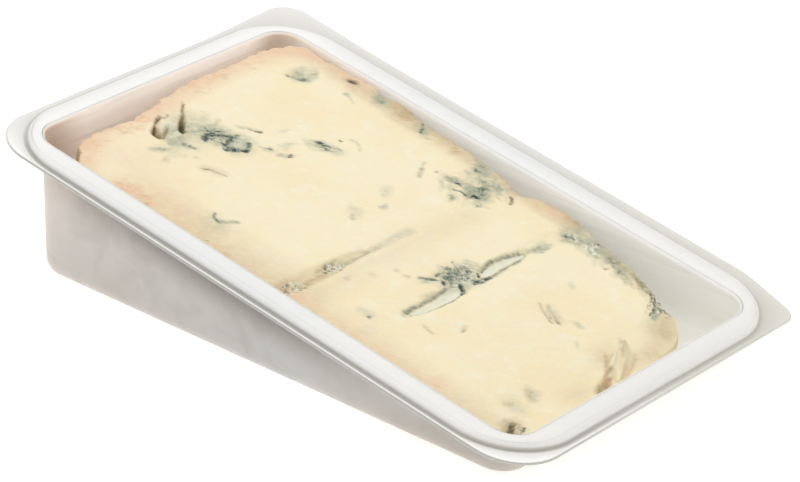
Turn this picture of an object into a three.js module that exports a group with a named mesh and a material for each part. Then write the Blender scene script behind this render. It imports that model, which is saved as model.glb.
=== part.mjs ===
// A portion of soft blue cheese in the open, wedge-shaped plastic tray it is sold in.
// Millimetres, +Z up. The tray stands on its flat floor, so its rim slopes down towards the
// thin end. Every shape is first made in the rim's own plane: x runs from the thick end to the
// thin end, y from the near side to the far side, and z is 0 on top of the sealing band.
import * as THREE from "three";

// Sealing band: the raised flat rib round the mouth, as the rectangle of its outer edge.
const BAND_LENGTH = 160;
const BAND_BREADTH = 100;
const BAND_WIDTH = { thin: 6.2, thick: 5.5, near: 6.3, far: 6.5 };
const BAND_CROWN = 0.3;
const BAND_STEP = 1.2;
const BAND_STEP_RUN = 0.4;
const BAND_CORNER = 18;
const BAND_EDGE_ROUND = 0.5;

// Cut edge of the flange outside the band, which the die left a little off centre. Its far side
// tapers from a place near the thin end, and its far thick corner flares outwards.
const LIP = { thin: 2.0, thick: 2.5, near: 1.8, far: 5.0 };
const LIP_CORNER = { thinFar: 3.5, thickFar: 7, thickNear: 13, thinNear: 13 };
const LIP_TAPER = { start: 64, rate: 0.26 };
const LIP_FLARE = { reach: 34, along: 1.5, across: 0.9 };

// Tub below the rim: its depth under each end of the band, its draft and its rounding.
const DEPTH_THICK = 38.4;
const DEPTH_THIN = 10.8;
const SHEET = 0.6;
const DRAFT = { thin: 0.03, thick: 0.168, near: 0.03, far: 0.03 };
const TUB_CORNER = 5.8;
const TUB_FOOT = 4;
const MOUTH_ROUND = 0.8;

// Cheese: the level of its top under the rim, its gaps to the tray and its rounded edges.
const TOP_LEVEL = -2.3;
const GAP = 0.4;
const FOOT_GAP = 0.4;
const CHEESE_FOOT = 4.5;
const CHEESE_LENGTH = 140;
const CHEESE_BREADTH = 84;
const EDGE_ROUND = { thick: 1.2, side: 1.8, thin: 3.0 };

// Its four edges in plan: rind side at the thick end, wavy far side, thin end, straight near side.
const NEAR_EDGE = -43.4;
const THICK_EDGE = [[-59, NEAR_EDGE], [-63, -39], [-66.8, -33], [-67.8, -23], [-68.6, -12],
  [-70.6, -2], [-72.6, 8], [-72.4, 20], [-71.4, 32], [-69, 40], [-66, 43]];
const FAR_EDGE = [[-66, 43], [-54, 43.2], [-43, 42.8], [-38.5, 41], [-33, 42.6], [-20, 40.8],
  [-8, 40.4], [3, 39.2], [9, 37.4], [14, 40], [24, 41], [33, 38], [44, 35], [53, 32.5],
  [60, 29.4], [64, 29.6], [68.5, 25.5]];
const THIN_EDGE = [[68.5, 25.5], [71.6, 16], [72.4, 4], [72.4, -12], [72.2, -28],
  [71.5, NEAR_EDGE]];

// Broad form of the top: slow waves, a rise to the far thick corner, a fall at the thin end.
const WAVES = [
  { height: 0.3, along: 0.085, across: 0.06, phase: 0.4 },
  { height: 0.18, along: 0.23, across: 0.11, phase: 0 },
  { height: 0.12, along: -0.13, across: 0.31, phase: 1.6 },
];
const FAR_RISE = { height: 1.1, yFrom: 5, yTo: 42, xFrom: -60, xTo: -15 };
const THIN_FALL = { depth: 1.4, xFrom: 56, xTo: 75 };

// Swells and dents of the top, each round a place and level again at its reach.
const SWELLS = [
  { at: [47, -8], reach: [24, 34], rise: 0.9 },
  { at: [-25, 2], reach: [34, 36], rise: 0.5 },
  { at: [14, 6], reach: [12, 40], rise: 0.4 },
  { at: [-60.5, -11.8], reach: [3, 2.4], rise: 0.9 },
  { at: [-55.5, -15.5], reach: [3.2, 2.4], rise: 0.7 },
];
const DENTS = [
  { at: [68, 24], reach: [9, 9], rise: -2.2 },
  { at: [69, -38.6], reach: [3, 2.6], rise: -1.8 },
  { at: [62.8, -25.2], reach: [2, 1.8], rise: -0.6 },
  { at: [-54.4, -21], reach: [2.4, 1.8], rise: -0.7 },
  { at: [-46.8, 4.5], reach: [2.4, 1.6], rise: -0.6 },
  { at: [-34.8, 3], reach: [2, 2], rise: -0.5 },
  { at: [-48.6, 41.4], reach: [2.6, 1.5], rise: -0.9 },
  { at: [-57.4, 33], reach: [1.8, 3.4], rise: -0.8 },
  { at: [38.8, -19.6], reach: [1.8, 1.2], rise: -0.6 },
];

// Long forms of the top, each from one place to another: the two creases where the portion was
// laid in blocks, the two leaf-shaped openings along the second one, the torn pit with its crack
// near the rind, two short cuts, and the folds over a hollow at the thin end.
const CREASES = [
  { from: [2.6, -48], to: [3, -13], halfWidth: 3.2, rise: -0.8 },
  { from: [3, -16], to: [3.4, 34], halfWidth: 4, rise: -0.2 },
  { from: [26, -48], to: [26.4, 44], halfWidth: 4, rise: -0.3 },
];
const LEAVES = [
  { from: [26, -24.5], to: [27.2, -4], halfWidth: 2.6, rise: -0.8 },
  { from: [26, 2], to: [25.8, 20], halfWidth: 2.7, rise: -0.8 },
];
const PIT = [
  { from: [-64.6, -9], to: [-63.4, -14.5], halfWidth: 1.8, rise: -3.2 },
  { from: [-63.8, -14.5], to: [-58.6, -17.2], halfWidth: 2.2, rise: -3.6 },
  { from: [-65.6, -1.5], to: [-56.8, -11.8], halfWidth: 1.5, rise: -3.2 },
];
const CUTS = [
  { from: [-27.6, -31], to: [-22, -30.4], halfWidth: 1.2, rise: -0.7 },
  { from: [42, 5], to: [50, 1.4], halfWidth: 1.1, rise: -0.6 },
];
const FOLDS = [
  { from: [63, 9], to: [71, -3], halfWidth: 1.6, rise: 0.8 },
  { from: [64.5, 4], to: [71.5, -10], halfWidth: 1.3, rise: 0.7 },
  { from: [67.4, -1], to: [71.8, -10.5], halfWidth: 2, rise: -2.2 },
];

// Crumbly patches where mould veins break the surface, and the two on the first crease.
const CRUMBS = [
  { at: [-48.5, -5], reach: [9, 5], height: 0.4 },
  { at: [-32, 13.5], reach: [5, 3], height: 0.3 },
  { at: [1, 30], reach: [9, 10], height: 0.4 },
  { at: [22, -4], reach: [6, 9], height: 0.35 },
  { at: [31, 34], reach: [10, 4], height: 0.45 },
  { at: [57, 30], reach: [8, 5], height: 0.5 },
  { at: [3, -37], reach: [4, 8], height: 0.35 },
  { at: [3, -21], reach: [4, 6], height: 0.3 },
];

// How finely the surfaces are divided.
const CORNER_STEPS = 6;
const LONG_STEPS = 8;
const SHORT_STEPS = 5;
const CELLS_ALONG = 74;
const CELLS_ACROSS = 44;
const SETTLING_PASSES = 4;

// Angles round the tub's foot, from its wall to its floor, and the same in the cheese's foot as
// shares of its height.
const FOOT_ANGLES = [0, Math.PI / 6, Math.PI / 3, Math.PI / 2];
const CHEESE_SIDE = [
  { share: 0.45, foot: 0 },
  { share: 1, foot: 0 },
  { share: 1, foot: 0.7 },
  { share: 1, foot: 1 },
];

const TILT = Math.atan((DEPTH_THICK - DEPTH_THIN) / BAND_LENGTH);

// Outer depth of the tub's floor under the rim at a place along the tray.
function depthAt(x) {
  const share = (x + BAND_LENGTH / 2) / BAND_LENGTH;
  return THREE.MathUtils.lerp(DEPTH_THICK, DEPTH_THIN, share);
}

function smooth(from, to, value) {
  return THREE.MathUtils.smoothstep(value, from, to);
}

// Sides of the band at a share of its width, 0 at its outer edge and 1 at its inner edge, and
// then moved further inwards by an amount.
function inset(share, amount) {
  return {
    thin: BAND_LENGTH / 2 - share * BAND_WIDTH.thin - amount,
    thick: -BAND_LENGTH / 2 + share * BAND_WIDTH.thick + amount,
    near: -BAND_BREADTH / 2 + share * BAND_WIDTH.near + amount,
    far: BAND_BREADTH / 2 - share * BAND_WIDTH.far - amount,
  };
}

// Stations round a rounded rectangle, anticlockwise from above, alike in number on every loop.
function roundedLoop(sides, corner) {
  const turns = [
    { x: sides.thin, y: sides.far, radius: corner.thinFar, quarter: 0, steps: LONG_STEPS },
    { x: sides.thick, y: sides.far, radius: corner.thickFar, quarter: 1, steps: SHORT_STEPS },
    { x: sides.thick, y: sides.near, radius: corner.thickNear, quarter: 2, steps: LONG_STEPS },
    { x: sides.thin, y: sides.near, radius: corner.thinNear, quarter: 3, steps: SHORT_STEPS },
  ];
  const arcs = turns.map(({ x, y, radius, quarter }) => {
    const centre = new THREE.Vector2(x - Math.sign(x) * radius, y - Math.sign(y) * radius);
    return Array.from({ length: CORNER_STEPS + 1 }, (_, i) => {
      const angle = (quarter + i / CORNER_STEPS) * Math.PI / 2;
      return new THREE.Vector2(Math.cos(angle), Math.sin(angle)).multiplyScalar(radius).add(centre);
    });
  });
  const points = [];
  arcs.forEach((arc, k) => {
    const next = arcs[(k + 1) % arcs.length][0];
    const last = arc[arc.length - 1];
    points.push(...arc);
    for (let i = 1; i < turns[k].steps; i++) {
      points.push(last.clone().lerp(next, i / turns[k].steps));
    }
  });
  return points;
}

function evenCorners(radius) {
  return { thinFar: radius, thickFar: radius, thickNear: radius, thinNear: radius };
}

function solid(points, index) {
  const geometry = new THREE.BufferGeometry().setFromPoints(points);
  geometry.setIndex(index);
  geometry.computeVertexNormals();
  return geometry;
}

// One closed skin over loops that run from a middle point to another, turning over at the rim.
function skin(start, loops, end) {
  const count = loops[0].length;
  const points = [start, ...loops.flat(), end];
  const index = [];
  const last = points.length - 1;
  const at = (loop, station) => 1 + loop * count + station % count;
  for (let j = 0; j < count; j++) {
    index.push(0, at(0, j), at(0, j + 1));
    for (let i = 0; i + 1 < loops.length; i++) {
      index.push(at(i, j), at(i + 1, j), at(i + 1, j + 1));
      index.push(at(i, j), at(i + 1, j + 1), at(i, j + 1));
    }
    index.push(at(loops.length - 1, j), last, at(loops.length - 1, j + 1));
  }
  return solid(points, index);
}

// A level loop of the rim.
function rimLoop(share, amount, corner, z) {
  const loop = roundedLoop(inset(share, amount), evenCorners(corner));
  return loop.map((p) => new THREE.Vector3(p.x, p.y, z));
}

// The cut outline of the flange, with its taper and its flare.
function lipLoop(z) {
  const sides = {
    thin: BAND_LENGTH / 2 + LIP.thin,
    thick: -BAND_LENGTH / 2 - LIP.thick,
    near: -BAND_BREADTH / 2 - LIP.near,
    far: BAND_BREADTH / 2 + LIP.far,
  };
  const flaredCorner = new THREE.Vector2(sides.thick, sides.far);
  return roundedLoop(sides, LIP_CORNER).map((p) => {
    const beyond = p.y > 0 ? Math.max(0, p.x - LIP_TAPER.start) : 0;
    const flare = 1 - smooth(0, LIP_FLARE.reach, p.distanceTo(flaredCorner));
    const y = p.y + flare * LIP_FLARE.across - beyond * LIP_TAPER.rate;
    return new THREE.Vector3(p.x - flare * LIP_FLARE.along, y, z);
  });
}

// Sides of the tub at a depth, for its inner face (wall 0) or its outer face (wall SHEET).
function tubSides(depth, wall) {
  const rim = inset(1, MOUTH_ROUND / 2 - wall);
  return {
    thin: rim.thin - DRAFT.thin * depth,
    thick: rim.thick + DRAFT.thick * depth,
    near: rim.near + DRAFT.near * depth,
    far: rim.far - DRAFT.far * depth,
  };
}

// A loop down the wall of the tub: share 0 is at the rim and 1 where the rounded foot starts;
// foot is the angle round that foot, and the floor it ends on follows the tub's slope.
function tubLoop(share, foot, wall) {
  const floorLift = wall ? 0 : SHEET;
  const radius = TUB_FOOT - floorLift;
  const top = roundedLoop(tubSides(0, wall), evenCorners(TUB_CORNER + wall));
  return top.map((rim, j) => {
    const floor = depthAt(rim.x) - floorLift;
    const wallDepth = MOUTH_ROUND + share * (floor - radius - MOUTH_ROUND);
    const depth = wallDepth + radius * Math.sin(foot);
    const inward = radius * (1 - Math.cos(foot));
    const sides = tubSides(depth, wall);
    const pulled = {
      thin: sides.thin - inward,
      thick: sides.thick + inward,
      near: sides.near + inward,
      far: sides.far - inward,
    };
    const corner = TUB_CORNER + wall - inward / 2;
    const place = roundedLoop(pulled, evenCorners(corner))[j];
    const slope = (depthAt(place.x) - depthAt(rim.x)) * share;
    return new THREE.Vector3(place.x, place.y, -(depth + slope));
  });
}

// The tub's wall from its floor up to its rim, inside or outside.
function tubWall(wall) {
  const foot = FOOT_ANGLES.map((angle) => tubLoop(1, angle, wall)).reverse();
  return [...foot, tubLoop(0.5, 0, wall), tubLoop(0, 0, wall)];
}

function trayGeometry() {
  const bandMiddle = (TUB_CORNER + BAND_CORNER) / 2;
  const mouthCorner = TUB_CORNER + MOUTH_ROUND;
  const stepCorner = BAND_CORNER + BAND_STEP_RUN;
  const top = [
    rimLoop(1, MOUTH_ROUND * 0.2, TUB_CORNER + MOUTH_ROUND * 0.3, -MOUTH_ROUND * 0.3),
    rimLoop(1, -MOUTH_ROUND / 2, mouthCorner, 0),
    rimLoop(0.5, 0, bandMiddle, BAND_CROWN),
    rimLoop(0, BAND_EDGE_ROUND, BAND_CORNER - BAND_EDGE_ROUND, 0),
    rimLoop(0, 0, BAND_CORNER, -BAND_EDGE_ROUND),
    rimLoop(0, -BAND_STEP_RUN, stepCorner, -BAND_STEP),
    lipLoop(-BAND_STEP),
  ];
  const underside = [
    lipLoop(-BAND_STEP - SHEET),
    rimLoop(0, SHEET - BAND_STEP_RUN, stepCorner - SHEET, -BAND_STEP - SHEET),
    rimLoop(0, SHEET * 1.2, BAND_CORNER - SHEET, -BAND_EDGE_ROUND - SHEET),
    rimLoop(0.5, 0, bandMiddle, BAND_CROWN - SHEET),
    rimLoop(1, -MOUTH_ROUND / 2 - SHEET * 0.8, mouthCorner + SHEET, -SHEET),
  ];
  const innerFloor = new THREE.Vector3(0, 0, -(depthAt(0) - SHEET));
  const outerFloor = new THREE.Vector3(0, 0, -depthAt(0));
  const loops = [...tubWall(0), ...top, ...underside, ...tubWall(SHEET).reverse()];
  return skin(innerFloor, loops, outerFloor);
}

// Level of the cheese's underside at a place along the tray, as a depth under the rim.
function undersideAt(x) {
  return depthAt(x) - SHEET - FOOT_GAP;
}

// Moves a point of the cheese inside the tray's inner wall at a depth, leaving the gap.
function keepInTray(point, depth, floor) {
  const foot = TUB_FOOT - SHEET;
  const intoFoot = THREE.MathUtils.clamp((depth - (floor - foot)) / foot, 0, 1);
  const clearance = GAP + foot * (1 - Math.sqrt(1 - intoFoot * intoFoot));
  const sides = tubSides(Math.max(depth, 0), 0);
  const centre = new THREE.Vector2((sides.thin + sides.thick) / 2, (sides.near + sides.far) / 2);
  const core = new THREE.Vector2((sides.thin - sides.thick) / 2, (sides.far - sides.near) / 2)
    .subScalar(clearance + TUB_CORNER);
  const away = point.clone().sub(centre);
  const excess = new THREE.Vector2(
    Math.max(Math.abs(away.x) - core.x, 0) * Math.sign(away.x),
    Math.max(Math.abs(away.y) - core.y, 0) * Math.sign(away.y),
  );
  const over = excess.length() - TUB_CORNER;
  if (over > 0) {
    point.sub(excess.multiplyScalar(over / excess.length()));
  }
  return point;
}

// Strength of a long form at a place: 1 along its middle line and 0 outside its half width,
// which pinches towards both ends.
function longForm(place, { from, to, halfWidth }) {
  const start = new THREE.Vector2(...from);
  const along = new THREE.Vector2(...to).sub(start);
  const out = place.clone().sub(start);
  const share = THREE.MathUtils.clamp(out.dot(along) / along.lengthSq(), 0, 1);
  const distance = out.sub(along.multiplyScalar(share)).length();
  const reach = halfWidth * THREE.MathUtils.lerp(0.45, 1, Math.sin(Math.PI * share));
  return 1 - smooth(reach * 0.35, reach, distance);
}

// Strength of a round form at a place: 1 in its middle and 0 at its reach.
function roundForm(place, { at, reach }) {
  return 1 - smooth(0, 1, Math.hypot((place.x - at[0]) / reach[0], (place.y - at[1]) / reach[1]));
}

// Crumbly grain: uneven bumps a few millimetres apart.
function crumble({ x, y }) {
  return Math.sin(x * 2.1 + Math.sin(y * 1.3)) * Math.cos(y * 1.9 + 0.7 * Math.sin(x * 1.1));
}

// Level of the cheese's top surface under the rim.
function topLevel(place) {
  const { x, y } = place;
  let z = TOP_LEVEL - THIN_FALL.depth * smooth(THIN_FALL.xFrom, THIN_FALL.xTo, x);
  z += FAR_RISE.height * smooth(FAR_RISE.yFrom, FAR_RISE.yTo, y)
    * (1 - smooth(FAR_RISE.xFrom, FAR_RISE.xTo, x));
  for (const { height, along, across, phase } of WAVES) {
    z += height * Math.sin(x * along + y * across + phase);
  }
  for (const form of [...SWELLS, ...DENTS]) {
    z += form.rise * roundForm(place, form);
  }
  for (const form of [...CREASES, ...LEAVES, ...PIT, ...CUTS, ...FOLDS]) {
    z += form.rise * longForm(place, form);
  }
  for (const patch of CRUMBS) {
    z += patch.height * crumble(place) * roundForm(place, patch);
  }
  return z;
}

// How far the rounded edge lies under the top, by the distance to each of the four edges.
function edgeDrop(u, v) {
  const round = (distance, radius) => {
    const into = Math.max(radius - distance, 0) / radius;
    return radius * (1 - Math.sqrt(1 - into * into));
  };
  return Math.max(
    round(u * CHEESE_LENGTH, EDGE_ROUND.thick),
    round((1 - u) * CHEESE_LENGTH, EDGE_ROUND.thin),
    round(v * CHEESE_BREADTH, EDGE_ROUND.side),
    round((1 - v) * CHEESE_BREADTH, EDGE_ROUND.side),
  );
}

// An edge of the cheese as a smooth curve through its places, kept inside the tray.
function edgeCurve(places) {
  const curve = new THREE.SplineCurve(places.map(([x, y]) => new THREE.Vector2(x, y)));
  return (share) => {
    const place = curve.getPoint(share);
    return keepInTray(place, -TOP_LEVEL, undersideAt(place.x));
  };
}

// Grid of plan places blended between the four edges: u along the tray and v across it.
function planGrid() {
  const near = edgeCurve([THICK_EDGE[0], THIN_EDGE[THIN_EDGE.length - 1]]);
  const far = edgeCurve(FAR_EDGE);
  const thick = edgeCurve(THICK_EDGE);
  const thin = edgeCurve([...THIN_EDGE].reverse());
  const weighted = (point, weight) => point.multiplyScalar(weight);
  const grid = [];
  for (let i = 0; i <= CELLS_ALONG; i++) {
    const u = i / CELLS_ALONG;
    const row = [];
    for (let j = 0; j <= CELLS_ACROSS; j++) {
      const v = j / CELLS_ACROSS;
      const place = weighted(near(u), 1 - v)
        .add(weighted(far(u), v))
        .add(weighted(thick(v), 1 - u))
        .add(weighted(thin(v), u))
        .sub(weighted(near(0), (1 - u) * (1 - v)))
        .sub(weighted(near(1), u * (1 - v)))
        .sub(weighted(far(0), (1 - u) * v))
        .sub(weighted(far(1), u * v));
      row.push(place);
    }
    grid.push(row);
  }
  return grid;
}

// Point numbers round the edge of the grid, anticlockwise from above.
function gridRim(at) {
  const along = Array.from({ length: CELLS_ALONG }, (_, i) => i);
  const across = Array.from({ length: CELLS_ACROSS }, (_, j) => j);
  return [
    ...along.map((i) => at(i, 0)),
    ...across.map((j) => at(CELLS_ALONG, j)),
    ...along.map((i) => at(CELLS_ALONG - i, CELLS_ACROSS)),
    ...across.map((j) => at(0, CELLS_ACROSS - j)),
  ];
}

// A point of the cheese's side under a point of its rim. Its depth and its place in the tray
// depend on each other, so they are settled in a few passes.
function sidePoint(rim, share, foot) {
  let place = new THREE.Vector2(rim.x, rim.y);
  let depth = -rim.z;
  for (let pass = 0; pass < SETTLING_PASSES; pass++) {
    const floor = undersideAt(place.x);
    const footTop = Math.max(floor - CHEESE_FOOT, -rim.z + GAP);
    depth = THREE.MathUtils.lerp(-rim.z, footTop, share) + (floor - footTop) * foot;
    place = keepInTray(new THREE.Vector2(rim.x, rim.y), depth, floor);
  }
  return new THREE.Vector3(place.x, place.y, -depth);
}

function cheeseGeometry() {
  const at = (i, j) => i * (CELLS_ACROSS + 1) + j;
  const points = planGrid().flatMap((row, i) => row.map((place, j) => {
    const z = topLevel(place) - edgeDrop(i / CELLS_ALONG, j / CELLS_ACROSS);
    return new THREE.Vector3(place.x, place.y, z);
  }));
  const index = [];
  for (let i = 0; i < CELLS_ALONG; i++) {
    for (let j = 0; j < CELLS_ACROSS; j++) {
      index.push(at(i, j), at(i + 1, j), at(i + 1, j + 1));
      index.push(at(i, j), at(i + 1, j + 1), at(i, j + 1));
    }
  }

  // The side hangs from the grid's edge loop by loop, and the underside closes it.
  let loop = gridRim(at);
  const rim = loop.map((k) => points[k]);
  for (const { share, foot } of CHEESE_SIDE) {
    const lower = rim.map((point) => points.push(sidePoint(point, share, foot)) - 1);
    loop.forEach((k, n) => {
      const next = (n + 1) % loop.length;
      index.push(k, lower[n], lower[next]);
      index.push(k, lower[next], loop[next]);
    });
    loop = lower;
  }
  const middle = points.push(new THREE.Vector3(0, 0, -undersideAt(0))) - 1;
  loop.forEach((k, n) => index.push(k, middle, loop[(n + 1) % loop.length]));
  return solid(points, index);
}

function mesh(name, geometry, colour, roughness) {
  const material = new THREE.MeshStandardMaterial({ color: colour, roughness, metalness: 0 });
  const made = new THREE.Mesh(geometry, material);
  made.name = name;
  return made;
}

const portion = new THREE.Group();
portion.add(mesh("tray", trayGeometry(), 0xe4e1dc, 0.35));
portion.add(mesh("cheese", cheeseGeometry(), 0xf3e6c6, 0.55));
portion.rotation.y = TILT;

// The origin is under the middle of the whole, on the surface that the tray stands on.
const group = new THREE.Group();
group.add(portion);
group.updateMatrixWorld(true);
const extent = new THREE.Box3().setFromObject(portion, true);
const middle = extent.getCenter(new THREE.Vector3());
portion.position.set(-middle.x, -middle.y, -extent.min.z);
group.updateMatrixWorld(true);

export default group;
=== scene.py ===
"""A portion of soft blue cheese in the open, wedge-shaped plastic tray it is sold in.

Sizes are millimetres in the plane of the tray's rim: x runs from the thick end to the thin end,
y from the near long side to the far one, and z is 0 on top of the sealing band. The finished
meshes are turned into the part's own frame, in metres, where the tray stands on its floor.
"""
import logging
import math
import random
from dataclasses import dataclass, field
from enum import Enum
from typing import Any, ClassVar

import bmesh
import bpy
import numpy as np
from mathutils import Matrix, Vector, noise


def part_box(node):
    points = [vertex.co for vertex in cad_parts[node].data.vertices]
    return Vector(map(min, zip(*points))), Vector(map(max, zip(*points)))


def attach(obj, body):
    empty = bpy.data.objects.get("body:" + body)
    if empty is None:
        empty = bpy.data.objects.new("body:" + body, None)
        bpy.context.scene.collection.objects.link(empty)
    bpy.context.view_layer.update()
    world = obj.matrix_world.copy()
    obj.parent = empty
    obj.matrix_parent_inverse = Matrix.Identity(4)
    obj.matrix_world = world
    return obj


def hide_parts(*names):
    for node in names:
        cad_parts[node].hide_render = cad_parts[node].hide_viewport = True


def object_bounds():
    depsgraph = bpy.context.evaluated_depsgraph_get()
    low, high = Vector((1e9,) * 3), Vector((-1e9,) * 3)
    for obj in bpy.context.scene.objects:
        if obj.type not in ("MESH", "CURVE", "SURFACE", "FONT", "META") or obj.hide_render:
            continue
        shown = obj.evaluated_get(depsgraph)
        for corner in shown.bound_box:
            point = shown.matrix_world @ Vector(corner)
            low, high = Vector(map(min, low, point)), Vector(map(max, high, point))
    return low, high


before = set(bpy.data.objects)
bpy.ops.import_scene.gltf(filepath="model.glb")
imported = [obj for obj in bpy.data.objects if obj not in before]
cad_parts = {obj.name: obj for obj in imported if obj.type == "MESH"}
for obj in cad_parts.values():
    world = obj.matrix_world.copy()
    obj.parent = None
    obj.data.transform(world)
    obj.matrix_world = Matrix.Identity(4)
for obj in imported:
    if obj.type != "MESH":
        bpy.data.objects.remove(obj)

CAD_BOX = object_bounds()
MM = 0.001
ROOT = "root"
LOG = logging.getLogger("cheese_tray")

Place = tuple[float, float]
Grain = tuple[float, int, float]
Colour = tuple[float, float, float, float]
Numbers = float | np.ndarray


def srgb(red: int, green: int, blue: int) -> Colour:
    """Turns a colour as seen on a screen into the light values that a shader takes.

    Args:
        red: Red from 0 to 255.
        green: Green from 0 to 255.
        blue: Blue from 0 to 255.

    Returns:
        The linear colour with a full alpha.
    """
    def light(level: int) -> float:
        """Gives the light of one channel."""
        share = level / 255
        return share / 12.92 if share <= 0.04045 else ((share + 0.055) / 1.055) ** 2.4

    return (light(red), light(green), light(blue), 1.0)


def smooth(start: float, end: float, value: Numbers) -> Numbers:
    """Rises smoothly from 0 at start to 1 at end.

    Args:
        start: Value at which the result leaves 0.
        end: Value at which the result reaches 1.
        value: Number or numbers to look up.

    Returns:
        The smooth share, of the same shape as value.
    """
    share = np.clip((value - start) / (end - start), 0, 1)
    return share * share * (3 - 2 * share)


def blend(first: Numbers, second: Numbers, share: Numbers) -> Numbers:
    """Gives first at a share of 0 and second at a share of 1."""
    return first + (second - first) * share


def roughen(places: np.ndarray, size: float, octaves: int, seed: float) -> np.ndarray:
    """Reads uneven noise at a set of places.

    Args:
        places: Points, one a row, in millimetres.
        size: Width of the largest bumps in millimetres.
        octaves: How many finer layers are added.
        seed: Offset that picks another stretch of the noise.

    Returns:
        One value for each place, about -1 to 1.
    """
    values = []
    for x, y, z in places / size:
        at = Vector((x + seed, y - seed, z + 2 * seed))
        values.append(noise.fractal(at, 0.9, 2.1, octaves, noise_basis="PERLIN_ORIGINAL"))
    return np.array(values)


class Tone(Enum):
    """Colourings of the cheese, each painted as an attribute of its mesh. Some of them also carry
    painted shade on slopes, edges and folds, and painted highlights on lumps.
    """

    VEIN = "vein"
    TANGLE = "tangle"
    HAZE_AND_SHADE = "haze"
    PALE_AND_HIGHLIGHT = "pale"
    BROWN = "brown"
    PEACH = "peach"
    STAIN_AND_SHADE = "stain_and_shade"

    @property
    def firm(self) -> bool:
        """Whether the tone covers evenly up to its edge, where the others fade out."""
        return self in (Tone.VEIN, Tone.BROWN, Tone.TANGLE)

    @property
    def misty(self) -> bool:
        """Whether the tone is a mist, with a full middle and an uneven look."""
        return self in (Tone.HAZE_AND_SHADE, Tone.PALE_AND_HIGHLIGHT)


@dataclass(frozen=True)
class Mark:
    """A bowed line of colour on the cheese, which may also cut into it or stand up from it.

    The bow is how far its middle lies to the left of the straight line from start to end. Its
    half width runs evenly from the first value to the second.
    """

    tone: Tone
    start: Place
    end: Place
    half_widths: tuple[float, float] = (0.4, 0.4)
    strength: float = 1.0
    depth: float = 0.0
    bow: float = 0.0
    sway: ClassVar[float] = 0.3
    legs: ClassVar[int] = 8

    def box(self) -> tuple[np.ndarray, np.ndarray]:
        """Low and high plan corners that the mark lies within."""
        margin = max(self.half_widths) + 2 * abs(self.bow)
        return np.minimum(self.start, self.end) - margin, np.maximum(self.start, self.end) + margin

    def cover(self, places: np.ndarray) -> np.ndarray:
        """Finds how fully the mark covers a set of places.

        Args:
            places: Plan places, one a row.

        Returns:
            1 on the middle line, falling to 0 at the half width.
        """
        start, end = np.array(self.start), np.array(self.end)
        along = end - start
        left = np.array([-along[1], along[0]]) / max(float(np.hypot(*along)), 1e-6)
        bend = (start + end) / 2 + left * self.bow * 2
        covered = np.zeros(len(places))
        for i in range(self.legs):
            near, far = i / self.legs, (i + 1) / self.legs
            first = start * (1 - near) ** 2 + bend * 2 * near * (1 - near) + end * near ** 2
            last = start * (1 - far) ** 2 + bend * 2 * far * (1 - far) + end * far ** 2
            leg = last - first
            length = max(float(leg @ leg), 1e-9)
            share = np.clip((places - first) @ leg / length, 0, 1)
            distance = np.hypot(*(places - first - share[:, None] * leg).T)
            half = blend(self.half_widths[0], self.half_widths[1], near + share / self.legs)
            covered = np.maximum(covered, np.clip(1 - distance / half, 0, 1))
        return covered


@dataclass(frozen=True)
class Patch:
    """A soft patch of colour with an uneven edge, which may also be a dent or a swell.

    Its heading is the angle, in degrees, between its length and the way along the tray.
    """

    tone: Tone
    at: Place
    reach: Place
    strength: float = 0.6
    heading: float = 0.0
    depth: float = 0.0
    sway: ClassVar[float] = 0.8

    def box(self) -> tuple[np.ndarray, np.ndarray]:
        """Low and high plan corners that the patch lies within."""
        reach = max(self.reach)
        return np.array(self.at) - reach, np.array(self.at) + reach

    def cover(self, places: np.ndarray) -> np.ndarray:
        """Finds how fully the patch covers a set of places.

        Args:
            places: Plan places, one a row.

        Returns:
            1 in the middle, falling to 0 at its reach.
        """
        turn = math.radians(self.heading)
        out = places - np.array(self.at)
        along = out @ np.array([math.cos(turn), math.sin(turn)]) / self.reach[0]
        across = out @ np.array([-math.sin(turn), math.cos(turn)]) / self.reach[1]
        return np.clip(1 - np.hypot(along, across), 0, 1)


@dataclass(frozen=True)
class Thicket:
    """A patch of fine threads of one tone, grown by a seeded rule round a place."""

    tone: Tone
    at: Place
    reach: Place
    count: int
    seed: int
    length: float = 1.6
    half_width: float = 0.28
    strength: float = 0.8
    depth: float = 0.12
    heading: float = 40.0
    scatter: float = 40.0

    def marks(self) -> list[Mark]:
        """Grows the threads.

        Returns:
            One short bowed mark for each thread.
        """
        draw = random.Random(self.seed)
        grown = []
        for _ in range(self.count):
            turn, away = draw.uniform(0, math.tau), math.sqrt(draw.random())
            x = self.at[0] + self.reach[0] * away * math.cos(turn)
            y = self.at[1] + self.reach[1] * away * math.sin(turn)
            heading = math.radians(self.heading + draw.gauss(0, self.scatter))
            length = self.length * draw.uniform(0.5, 1.5)
            end = (x + length * math.cos(heading), y + length * math.sin(heading))
            wide = self.half_width * draw.uniform(0.7, 1.4)
            grown.append(Mark(
                self.tone, (x, y), end, (wide, wide * 0.5),
                self.strength * draw.uniform(0.6, 1.1), self.depth,
                length * draw.uniform(-0.25, 0.25),
            ))
        return grown


@dataclass(frozen=True)
class Wave:
    """A slow wave over the whole top of the cheese."""

    height: float
    along: float
    across: float
    phase: float


@dataclass(frozen=True)
class Mound:
    """A round swell of the top, or a dent where its rise is below 0."""

    at: Place
    reach: Place
    rise: float

    def cover(self, x: np.ndarray, y: np.ndarray) -> np.ndarray:
        """Gives 1 in the middle and 0 at the reach."""
        return 1 - smooth(0, 1, np.hypot((x - self.at[0]) / self.reach[0],
                                         (y - self.at[1]) / self.reach[1]))


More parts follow.
